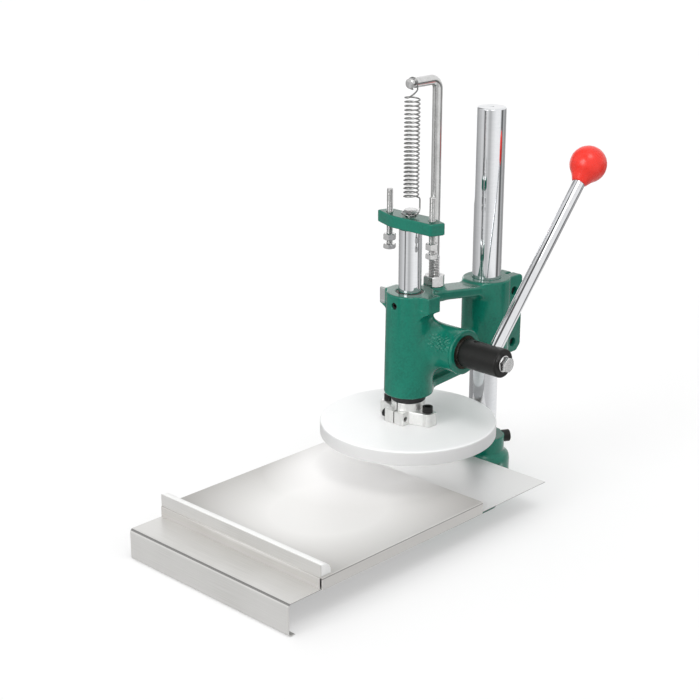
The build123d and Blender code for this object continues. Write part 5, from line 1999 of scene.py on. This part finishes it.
    def crossbar(self) -> None:
        """Makes the crossbar, its bolt and the two stops with their nuts."""
        far, half, width, (low, high) = self.bar_margin, self.bar_half, self.bar_width, self.bar_ends
        corners = ((-half - far, -width - far, low - far), (half + far, width + far, high + far))
        bar = cast_skin(self.bar_field, *corners, self.bar_grid)
        bar.marks["bare"] = np.zeros(len(bar.points))
        bar.marks["rough"] = np.zeros(len(bar.points))
        put("crossbar_painted", bar, "ram", "green_paint", "crossbar")
        seat, radius, foot = self.bolt_seat, self.bolt_radius, low - self.bolt_depth
        shank = [Ring(foot, radius - 0.8), Ring(foot + 1, radius)]
        neck = [Ring(seat - 0.3, radius), Ring(seat, self.bolt_bore)]
        head = hex_rings(self.bolt_flats, seat, seat + self.bolt_head, cut_low=False)
        bolt = placed(ring_shell(shank + neck + head), (0, 0, 0), turn=self.bolt_turn)
        put("crossbar_hex_bolt", bolt, "ram", "zinc_steel", "crossbar_bolt")
        stops, nuts, overlap, root = [], [], 0.5, 0.6
        for x in (-self.stop_x, self.stop_x):
            head = ring_shell(hex_rings(self.stop_flats, *self.stop_head))
            stem = thread_shell(self.stop_dia, self.stop_pitch, self.stop_head[1] - overlap, self.stop_top)
            nut = nut_shell(self.stop_flats, self.nut_hole, *self.nut_ends)
            stops += [placed(head, (x, 0, 0), turn=self.stop_turn), placed(stem, (x, 0, 0))]
            nuts.append(placed(nut, (x, 0, 0), turn=self.stop_turn))
        bolts = joined(stops)
        axes = [(-self.stop_x, 0.0), (self.stop_x, 0.0)]
        # Painted shade in the roots of the stops' threads, along their stems
        deep = groove_depth(bolts.points, axes, self.stop_dia / 2, root)
        shaded_band = np.abs(bolts.points[:, 2] - self.groove_shade_middle) < self.groove_shade_half
        bolts.marks["groove"] = self.groove_shade_share * deep * shaded_band
        put("stop_hex_bolts", bolts, "ram", "zinc_steel", "stop_bolts")
        put("stop_lock_nuts", joined(nuts), "ram", "zinc_steel", "stop_nuts")

    def bumper(self) -> Shell:
        """Rubber ring round the ram, a rectangle with soft corners carried round it.

        Returns:
            The closed surface.
        """
        inner, outer = self.radius + self.ring_gap, self.ring_radius
        low, high = self.collar_top, self.ring_top
        square = [(inner, high), (outer, high), (outer, low), (inner, low)]
        corners = [(inner, self.ring_seam), *square, (inner, self.ring_seam - 0.1)]
        return turned(soft_corners(corners, (1.2, 1.8, 1.8, 1.2)), 96, hollow=True)

    def disc(self) -> Shell:
        """Press disc: flat faces in rows of rings, and a rim with rounded edges, marked for painted shade.

        Returns:
            The closed surface.
        """
        (bottom, top), radius, flat, fade = self.disc_ends, self.disc_radius, 3.0, 0.7
        corners = [(0.0, bottom), (radius, bottom), (radius, top), (0.0, top)]
        rim = soft_corners(corners, (self.disc_edge, self.disc_edge), 8)[1:-1]
        rows = np.linspace(0.0, radius - flat, 24)[1:]
        under = np.stack([rows, np.full_like(rows, bottom)], axis=-1)
        over = np.stack([rows[::-1], np.full_like(rows, top)], axis=-1)
        plate = turned(np.concatenate([under, rim, over]), 192)
        # The mark rim sets where the finish paints shade on the disc's side
        edge = np.hypot(plate.points[:, 0], plate.points[:, 1]) - radius + 0.8
        plate.marks["rim"] = np.clip(edge / fade, 0, 1)
        return plate

    def build(self) -> None:
        """Makes the pieces of the ram."""
        put("ram_bar", self.ram(), "ram", "chrome", "ram", sharp=25.0)
        self.crossbar()
        put("bumper_rubber_ring", self.bumper(), "ram", "black_rubber", "bumper_ring")
        collar = cast_skin(self.collar_field, *self.collar_box, self.collar_grid)
        put("clamp_collar_milled", collar, "ram", "aluminium", "clamp_collar")
        seat = (-self.block_half, self.clamp_y, (self.disc_ends[1] + self.flange_top) / 2)
        clamp = placed(CAP_M6.shell(self.clamp_length), seat, (-1, 0, 0))
        put("collar_cap_screw", clamp, "ram", "black_steel", "collar_clamp_screw")
        screw, ears = CAP_M8.shell(self.screw_length), (-self.ear_x, self.ear_x)
        screws = joined([placed(screw, (x, 0, self.flange_top)) for x in ears])
        put("disc_cap_screws", screws, "ram", "black_steel", "disc_screws")
        put("press_disc_turned", self.disc(), "ram", "white_plastic", "press_disc", Stock.polyethylene)


@dataclass
class LeverUnit:
    """Lever hub on the pinion shaft, its bolt, the lever and its ball."""

    hub_radius: float = 17.8
    hub_ends: Span = (68.2, 125.2)
    hub_edge: float = 1.8
    hub_rim: float = 0.8
    hub_grid: float = 0.9
    hub_margin: float = 3.0
    seat_end: float = 92.3
    seat_radius: float = 11.05
    lever_x: float = 104.2
    tilt: float = 49.0
    lever_radius: float = 8.0
    lever_rim: float = 1.6
    lever_edge: float = 0.6
    foot: float = -9.0
    reach: float = 277.0
    knob_radius: float = 23.0
    knob_cut: float = 128.0
    neck_radius: float = 9.0
    neck_reach: float = 27.3
    neck_ends: Span = (-26.5, -19.2)
    cone_radius: float = 18.1
    cone_reach: float = 12.0
    grub_x: float = 82.2
    grub_bore: float = 3.1
    grub_sink: float = 1.5
    grub_size: Span = (6.0, 6.0)
    bolt_radius: float = 5.0
    bolt_tip: float = 1.0
    washer_radius: float = 10.0
    washer_top: float = 2.0
    bolt_flats: float = 17.0
    bolt_head: float = 9.0
    bolt_turn: float = 10.0
    out: float = 200.0

    def way(self) -> Array:
        """Direction of the lever, leaning back from level by the tilt."""
        return np.array([0.0, math.cos(math.radians(self.tilt)), math.sin(math.radians(self.tilt))])

    def hub_field(self, p: Array) -> Array:
        """Distance to the hub: a bar with its bores and the lever's cross hole.

        Args:
            p: Points.

        Returns:
            The distances.
        """
        centre, rim = (PINION_Y, PINION_Z), self.hub_rim
        body = round_bar(p, 0, centre, self.hub_radius, self.hub_ends, self.hub_edge)
        body = drilled(body, p, 0, centre, self.seat_radius, (0, self.seat_end), rim)
        body = drilled(body, p, 0, centre, self.bolt_radius + BORE_GAP, (self.lever_x, self.out), rim)
        off = p - (self.lever_x, PINION_Y, PINION_Z)
        along = off @ self.way()
        hole = np.linalg.norm(off - along[:, None] * self.way(), axis=1) - self.lever_radius - BORE_GAP
        body = carved(body, np.maximum(hole, self.foot - along), self.lever_rim)
        grub = np.hypot(p[:, 0] - self.grub_x, p[:, 1] - PINION_Y) - self.grub_bore
        return carved(body, np.maximum(grub, PINION_Z - p[:, 2]), 1.0)

    def bolt(self) -> Shell:
        """Lock bolt in the hub's end: a coned stem, a washer face and a hexagon.

        Returns:
            The closed surface.
        """
        end, radius, tip = self.hub_ends[1], self.bolt_radius, self.bolt_tip
        stem, wide, top = self.lever_x + self.lever_radius + 0.2, self.washer_radius, end + self.washer_top
        shank = [Ring(stem, radius - tip), Ring(stem + tip, radius), Ring(end, radius)]
        washer = [Ring(end, wide - 0.4), Ring(end + 0.4, wide), Ring(top - 0.6, wide), Ring(top, wide - 0.7)]
        head = hex_rings(self.bolt_flats, top, end + self.bolt_head, cut_low=False)
        return ring_shell(shank + washer + head, 72)

    def knob(self) -> Shell:
        """Ball with a conical neck, turned round the lever's own axis.

        The profile is a half circle about the ball's centre, cut by a cone that leads to the neck.

        Returns:
            The closed surface, its Z along the lever and its origin in the ball's centre.
        """
        neck, end, pole = self.neck_radius, -self.neck_reach, 0.3
        slope = (self.cone_radius - neck) / (self.neck_reach - self.cone_reach)
        angles = np.radians(np.linspace(self.knob_cut, 0, 64))
        ball = np.stack([self.knob_radius * np.sin(angles), self.knob_radius * np.cos(angles)], axis=-1)
        heights = np.linspace(*self.neck_ends, 8)
        cone = np.stack([neck + slope * (heights - end), heights], axis=-1)
        rim = [(self.lever_radius, end + 0.5), (neck - 0.6, end), (neck, end + 0.3)]
        return turned(np.concatenate([rim, cone, ball[:-1], [[pole, self.knob_radius]]]))

    def build(self) -> None:
        """Makes the pieces of the lever."""
        far, edge, way = self.hub_margin, self.hub_radius + self.hub_margin, self.way()
        low = (self.hub_ends[0] - far, PINION_Y - edge, PINION_Z - edge)
        high = (self.hub_ends[1] + far, PINION_Y + edge, PINION_Z + edge)
        hub = cast_skin(self.hub_field, low, high, self.hub_grid)
        put("lever_hub_black", hub, "lever", "black_steel", "lever_hub")
        mouth = (self.grub_x, PINION_Y, PINION_Z + self.hub_radius - self.grub_sink)
        grub = placed(grub_screw(*self.grub_size), mouth)
        put("hub_key_grub_screw", grub, "lever", "black_steel", "hub_grub_screw")
        bolt = placed(self.bolt(), (0, PINION_Y, PINION_Z), (1, 0, 0), self.bolt_turn)
        put("lever_lock_hex_bolt", bolt, "lever", "zinc_steel", "lever_lock_bolt")
        origin = np.array([self.lever_x, PINION_Y, PINION_Z])
        radius, foot = self.lever_radius, self.foot + 0.1
        corners = [(0.0, foot), (radius, foot), (radius, self.reach), (0.0, self.reach)]
        rod = turned(soft_corners(corners, (self.lever_edge, self.lever_edge)))
        put("lever_bar", placed(rod, origin, way), "lever", "chrome", "lever_rod", Stock.buffed)
        knob = placed(self.knob(), origin + way * self.reach, way)
        put("ball_knob_polished", knob, "lever", "red_plastic", "ball_knob")


@dataclass
class PlateUnit:
    """Work plate: a stainless channel with a folded riser, and the white strip behind its fence."""

    front: float = -291.0
    back: float = -15.0
    fold: float = 1.0
    skirt_foot: float = 38.5
    riser_foot: float = 40.1
    corner_gap: float = 2.2
    strip_half: float = 134.0
    strip_ends: Span = (-288.5, -273.5)
    strip_heights: Span = (54.5, 68.4)
    strip_corners: tuple[float, ...] = (0.5, 0.8, 11.0, 0.5)
    strip_end: float = 1.0

    def channel(self) -> Shell:
        """Top with its two side skirts, a line in the XZ plane carried along Y, and the front riser.

        Returns:
            The closed surfaces.
        """
        mid, fold = SHEET / 2, self.fold
        wall, level, front = PLATE_HALF - mid, PLATE_TOP - mid, self.front + mid
        seam, riser = self.front + self.corner_gap, PLATE_HALF - SHEET - fold
        skirts = [(-wall, self.skirt_foot), (-wall, level), (wall, level), (wall, self.skirt_foot)]
        across = soft_corners(skirts, (fold, fold), 10)
        down = soft_corners([(seam, level), (front, level), (front, self.riser_foot)], (fold,), 10)
        top = folded_sheet(across, (seam, self.back), SHEET, 1)
        return joined([top, folded_sheet(down, (-riser, riser), SHEET, 0)])

    def strip(self) -> Shell:
        """White strip: a quarter round section carried along X, drawn in a little at its ends.

        Each ring is the section moved towards its own middle by the end's rounding, which is one
        less the root of one less the square of the way left to the end.

        Returns:
            The closed surface.
        """
        (front, back), (low, high), end = self.strip_ends, self.strip_heights, self.strip_end
        start, seam = (front + back) / 2, 0.1
        corners = [(start, low), (front, low), (front, high), (back, high), (back, low), (start + seam, low)]
        section = soft_corners(corners, self.strip_corners, 10)
        inward = unit(section.mean(axis=0) - section)
        way = np.linspace(0, 1, 6)
        rounding = end * (1 - np.sqrt(1 - (1 - way) ** 2))
        body = np.linspace(-self.strip_half + 2 * end, self.strip_half - 2 * end, 30)
        ends = self.strip_half - end * way
        at = np.concatenate([-ends, body, ends[::-1]])
        shrink = np.concatenate([rounding, np.zeros(len(body)), rounding[::-1]])
        spread = section[None] + inward[None] * shrink[:, None, None]
        place = np.broadcast_to(at[:, None, None], (*spread.shape[:2], 1))
        return grid_shell(np.concatenate([place, spread], axis=-1))

    def build(self) -> None:
        """Makes the plate's sheet and the strip."""
        sheet = self.channel()
        put("work_plate_folded_sheet", sheet, "plate", "stainless", "work_plate", Stock.plate_stainless_painted_light)
        put("fence_bumper_strip", self.strip(), "plate", "white_plastic", "fence_bumper")


# Studio


@dataclass(frozen=True)
class Lamp:
    """Wide, far lamp.

    Attributes:
        name: Name of the lamp.
        direction: Where it stands round the press, in degrees from +X.
        height: Its angle above level, in degrees.
        strength: Its light, in watts per square metre.
        spread: Its width as seen from the press, in degrees.
        glint: Whether polished metal shows it.
    """

    name: str
    direction: float
    height: float
    strength: float
    spread: float
    glint: bool = True

    def hang(self) -> None:
        """Adds the lamp to the scene."""
        data = bpy.data.lights.new(self.name, "SUN")
        data.energy = self.strength
        data.angle = math.radians(self.spread)
        lamp = bpy.data.objects.new(self.name, data)
        lamp.rotation_euler = (0.0, math.radians(90 - self.height), math.radians(self.direction))
        lamp.visible_glossy = self.glint
        bpy.context.scene.collection.objects.link(lamp)


@dataclass
class Studio:
    """Camera, floor, world and lamps.

    Attributes:
        eye: Place of the camera, in millimetres.
        yaw: Turn of the view from +Y towards -X, in degrees.
        pitch: Angle of the view below level, in degrees.
        lens: Focal length for a sensor 36 mm wide.
        shift: Shift of the picture, in picture widths.
        ambient: Brightness of the world as a soft light.
        paper: Colour of the floor, as it lights the press and as the camera sees it.
        half: Half the side of the floor, in metres.
        sink: How far below the press it lies, in metres.
        near: Brightness of the floor beside the press in polished metal, by direction in degrees from +X.
        far: Brightness of the floor farther out, by direction.
        reach: Where the far strips start and where they are full, in metres from the press.
        lift: Share of the floor that the camera sees as plain white, so that shadows stay faint.
        sky: Brightness of the room in polished metal, by the sine of the height above level.
        screen: The same by direction; the room is dim only where both are.
        walls: The same by direction, which the one by height is multiplied by.
        lamps: The far lamps.
        panel_place: Middle of a near lamp panel, in millimetres.
        panel_aim: Point that it faces, in millimetres.
        panel_size: Its side, in millimetres.
        panel_power: Its light, in watts.
    """

    eye: Spot = (1211.3, -1364.8, 841.5)
    yaw: float = 43.99
    pitch: float = 19.32
    lens: float = 80.68
    shift: Span = (0.0045, 0.0087)
    ambient: float = 0.6
    paper: tuple[str, str] = ("#C4C4C4", "#FFFFFF")
    half: float = 14.0
    sink: float = 0.0004
    near: Stops = (
        (-180, 0.3), (-164, 0.35), (-146, 0.66), (-62, 0.66), (-48, 0.62),
        (20, 0.62), (60, 0.9), (118, 0.9), (136, 0.35), (180, 0.3),
    )
    far: Stops = (
        (-180, 0.4), (-172, 0.43), (-158, 0.53), (-135, 0.61), (-126, 0.73), (-112, 0.72), (-107, 0.62),
        (-103, 0.1), (-97, 0.1), (-93, 0.76), (-76, 0.76), (-66, 0.55), (-52, 0.54), (-45, 0.68), (-34, 0.82),
        (-10, 1.0), (22, 1.0), (30, 0.8), (37, 0.13), (50, 0.15), (58, 0.5), (64, 0.53), (74, 0.33),
        (100, 0.4), (180, 0.4),
    )
    reach: Span = (0.78, 0.95)
    lift: float = 0.4
    sky: Stops = ((0.0, 1.0), (0.72, 1.0), (0.745, 0.12), (0.9, 0.12), (0.93, 1.0), (1.0, 1.0))
    screen: Stops = ((-180, 1.0), (-128, 1.0), (-112, 0.12), (-70, 0.12), (-60, 1.0), (180, 1.0))
    walls: Stops = ((-180, 0.36), (-166, 0.4), (-152, 0.9), (150, 1.0), (162, 0.4), (180, 0.36))
    lamps: tuple[Lamp, ...] = (
        Lamp("key lamp", direction=-33.0, height=62.0, strength=0.6, spread=24.0),
        Lamp("fill lamp", direction=-45.0, height=55.0, strength=0.55, spread=100.0, glint=False),
        Lamp("front lamp", direction=-92.0, height=22.0, strength=1.0, spread=30.0),
    )
    panel_place: Spot = (-605.0, 445.0, 355.0)
    panel_aim: Spot = (-15.0, -165.0, 53.5)
    panel_size: float = 330.0
    panel_power: float = 0.3

    def stand(self, thing: bpy.types.Object, axes: Sequence[Array], place: Sequence[float]) -> None:
        """Puts a camera or a lamp at a place with its own X, Y and Z along three directions.

        Args:
            thing: The camera or lamp.
            axes: The three directions.
            place: The place, in millimetres.
        """
        frame = np.eye(4)
        frame[:3, :3] = np.stack(axes, axis=1)
        frame[:3, 3] = np.asarray(place, float) * MM
        thing.matrix_world = Matrix(frame.tolist())
        bpy.context.scene.collection.objects.link(thing)

    def camera(self) -> None:
        """Sets the camera to the fitted view."""
        yaw, pitch = math.radians(self.yaw), math.radians(self.pitch)
        level = math.cos(pitch)
        ahead = np.array([-math.sin(yaw) * level, math.cos(yaw) * level, -math.sin(pitch)])
        right = np.array([math.cos(yaw), math.sin(yaw), 0.0])
        data = bpy.data.cameras.new("camera")
        data.lens = self.lens
        data.shift_x, data.shift_y = self.shift
        view = bpy.data.objects.new("camera", data)
        self.stand(view, [right, np.cross(right, ahead), -ahead], self.eye)
        bpy.context.scene.camera = view

    def graded(self, tree: Tree, place: Socket, stops: Stops) -> Socket:
        """Brightness that follows a row of stops.

        Args:
            tree: The node tree.
            place: Value along the row, from the first stop's place to the last one's.
            stops: Place and brightness of each stop, in order.

        Returns:
            The brightness.
        """
        first, last = stops[0][0], stops[-1][0]
        share = add(tree, "MapRange", {"Value": place, "From Min": first, "From Max": last}).outputs[0]
        row = add(tree, "ValToRGB", {"Fac": share})
        elements = row.color_ramp.elements
        for number, (at, bright) in enumerate(stops):
            where = (at - first) / (last - first)
            inner = 0 < number < len(stops) - 1
            stop = elements.new(where) if inner else elements[0 if number == 0 else -1]
            stop.position = where
            stop.color = (bright, bright, bright, 1.0)
        return row.outputs["Color"]

    def bearing(self, tree: Tree, place: Socket) -> Socket:
        """Direction of a place round the Z axis, in degrees from +X.

        Args:
            tree: The node tree.
            place: The place.

        Returns:
            The direction.
        """
        parts = add(tree, "SeparateXYZ", {0: place}).outputs
        angle = add(tree, "Math", {0: parts["Y"], 1: parts["X"]}, operation="ARCTAN2").outputs[0]
        return add(tree, "Math", {0: angle}, operation="DEGREES").outputs[0]

    def floor(self) -> None:
        """Lays a pale floor that keeps the press's shadow; polished metal sees it in broad strips."""
        half, level = self.half, -self.sink
        mesh = bpy.data.meshes.new("floor")
        corners = [(-half, -half, level), (half, -half, level), (half, half, level), (-half, half, level)]
        mesh.from_pydata(corners, [], [(0, 1, 2, 3)])
        canvas = Canvas.blank("White paper")
        tree, spot = canvas.tree, canvas.place
        ray = add(tree, "LightPath").outputs
        dull, white = [linear(code) for code in self.paper]
        shades = {0: ray["Is Camera Ray"], 6: dull, 7: white}
        shade = add(tree, "Mix", shades, data_type="RGBA").outputs[2]
        feed(tree, canvas.shader, {"Base Color": shade, "Roughness": 1.0, "Specular IOR Level": 0.0})
        way, (start, full) = self.bearing(tree, spot), self.reach
        away = add(tree, "VectorMath", {0: spot}, operation="LENGTH").outputs["Value"]
        share = add(tree, "MapRange", {"Value": away, "From Min": start, "From Max": full}).outputs[0]
        both = {0: share, 6: self.graded(tree, way, self.near), 7: self.graded(tree, way, self.far)}
        strips = add(tree, "Mix", both, data_type="RGBA").outputs[2]
        glow = add(tree, "Emission", {"Color": strips}).outputs[0]
        plain = add(tree, "Emission", {"Color": white}).outputs[0]
        lift = add(tree, "Math", {0: ray["Is Camera Ray"], 1: self.lift}, operation="MULTIPLY").outputs[0]
        paint = add(tree, "MixShader", {0: lift, 1: canvas.shader.outputs[0], 2: plain}).outputs[0]
        seen = add(tree, "MixShader", {0: ray["Is Glossy Ray"], 1: paint, 2: glow}).outputs[0]
        output = next(node for node in tree.nodes if node.type == "OUTPUT_MATERIAL")
        feed(tree, output, {"Surface": seen})
        mesh.materials.append(canvas.made)
        ground = bpy.data.objects.new("floor", mesh)
        bpy.context.scene.collection.objects.link(ground)

    def world(self) -> None:
        """Lights the press evenly from all round, white to the camera, with a dim screen in reflections."""
        world = bpy.data.worlds.new("studio")
        bpy.context.scene.world = world
        world.use_nodes = True
        tree, white = world.node_tree, linear("#FFFFFF")
        tree.nodes.clear()
        ray = add(tree, "LightPath").outputs
        look = add(tree, "TexCoord").outputs["Object"]
        height, way = add(tree, "SeparateXYZ", {0: look}).outputs["Z"], self.bearing(tree, look)
        dim = {0: self.graded(tree, height, self.sky), 1: self.graded(tree, way, self.screen)}
        room = add(tree, "Math", dim, operation="MAXIMUM").outputs[0]
        lit = {0: room, 1: self.graded(tree, way, self.walls)}
        shine = add(tree, "Math", lit, operation="MULTIPLY").outputs[0]
        soft, belt, plain = [
            add(tree, "Background", {"Color": white, "Strength": strength}).outputs[0]
            for strength in (self.ambient, shine, 1.0)
        ]
        shiny = add(tree, "MixShader", {0: ray["Is Glossy Ray"], 1: soft, 2: belt}).outputs[0]
        rays = {0: ray["Is Camera Ray"], 1: ray["Is Transmission Ray"]}
        seen = add(tree, "Math", rays, operation="MAXIMUM").outputs[0]
        both = add(tree, "MixShader", {0: seen, 1: shiny, 2: plain}).outputs[0]
        add(tree, "OutputWorld", {"Surface": both})

    def panel(self) -> None:
        """Adds a near square lamp panel, hidden from the camera."""
        data = bpy.data.lights.new("back panel", "AREA")
        data.energy = self.panel_power
        data.size = self.panel_size * MM
        lamp = bpy.data.objects.new("back panel", data)
        back = unit(np.array(self.panel_place) - np.array(self.panel_aim))
        across = unit(np.cross((0.0, 0.0, 1.0), back))
        self.stand(lamp, [across, np.cross(back, across), back], self.panel_place)
        lamp.visible_camera = False

    def build(self) -> None:
        """Sets up camera, floor, world and lamps."""
        self.camera()
        self.floor()
        self.world()
        for lamp in self.lamps:
            lamp.hang()
        self.panel()
        bpy.context.scene.view_settings.view_transform = "Standard"


def dress_nodes(frame: dict[str, Any]) -> None:
    """Gives every frame node that stays in sight the finish of its slot.

    Args:
        frame: The loaded frame.
    """
    slots = {row["node"]: row["material_slot"] for row in frame["record"]["subparts"]}
    for node, piece in frame["nodes"].items():
        piece.data.materials.clear()
        piece.data.materials.append(SLOT_FINISH[slots[node]].material())


def main() -> None:
    """Loads the frame, builds the press's pieces around it and sets up the studio."""
    logging.basicConfig(level=logging.INFO, format="%(name)s: %(message)s")
    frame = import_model()
    dress_nodes(frame)
    units = (BaseUnit(), TrayUnit(), HeadUnit(), ReturnSpring(), RamUnit(), LeverUnit(), PlateUnit())
    for unit_of_press in units:
        unit_of_press.build()
    Studio().build()


if __name__ == "__main__":
    main()
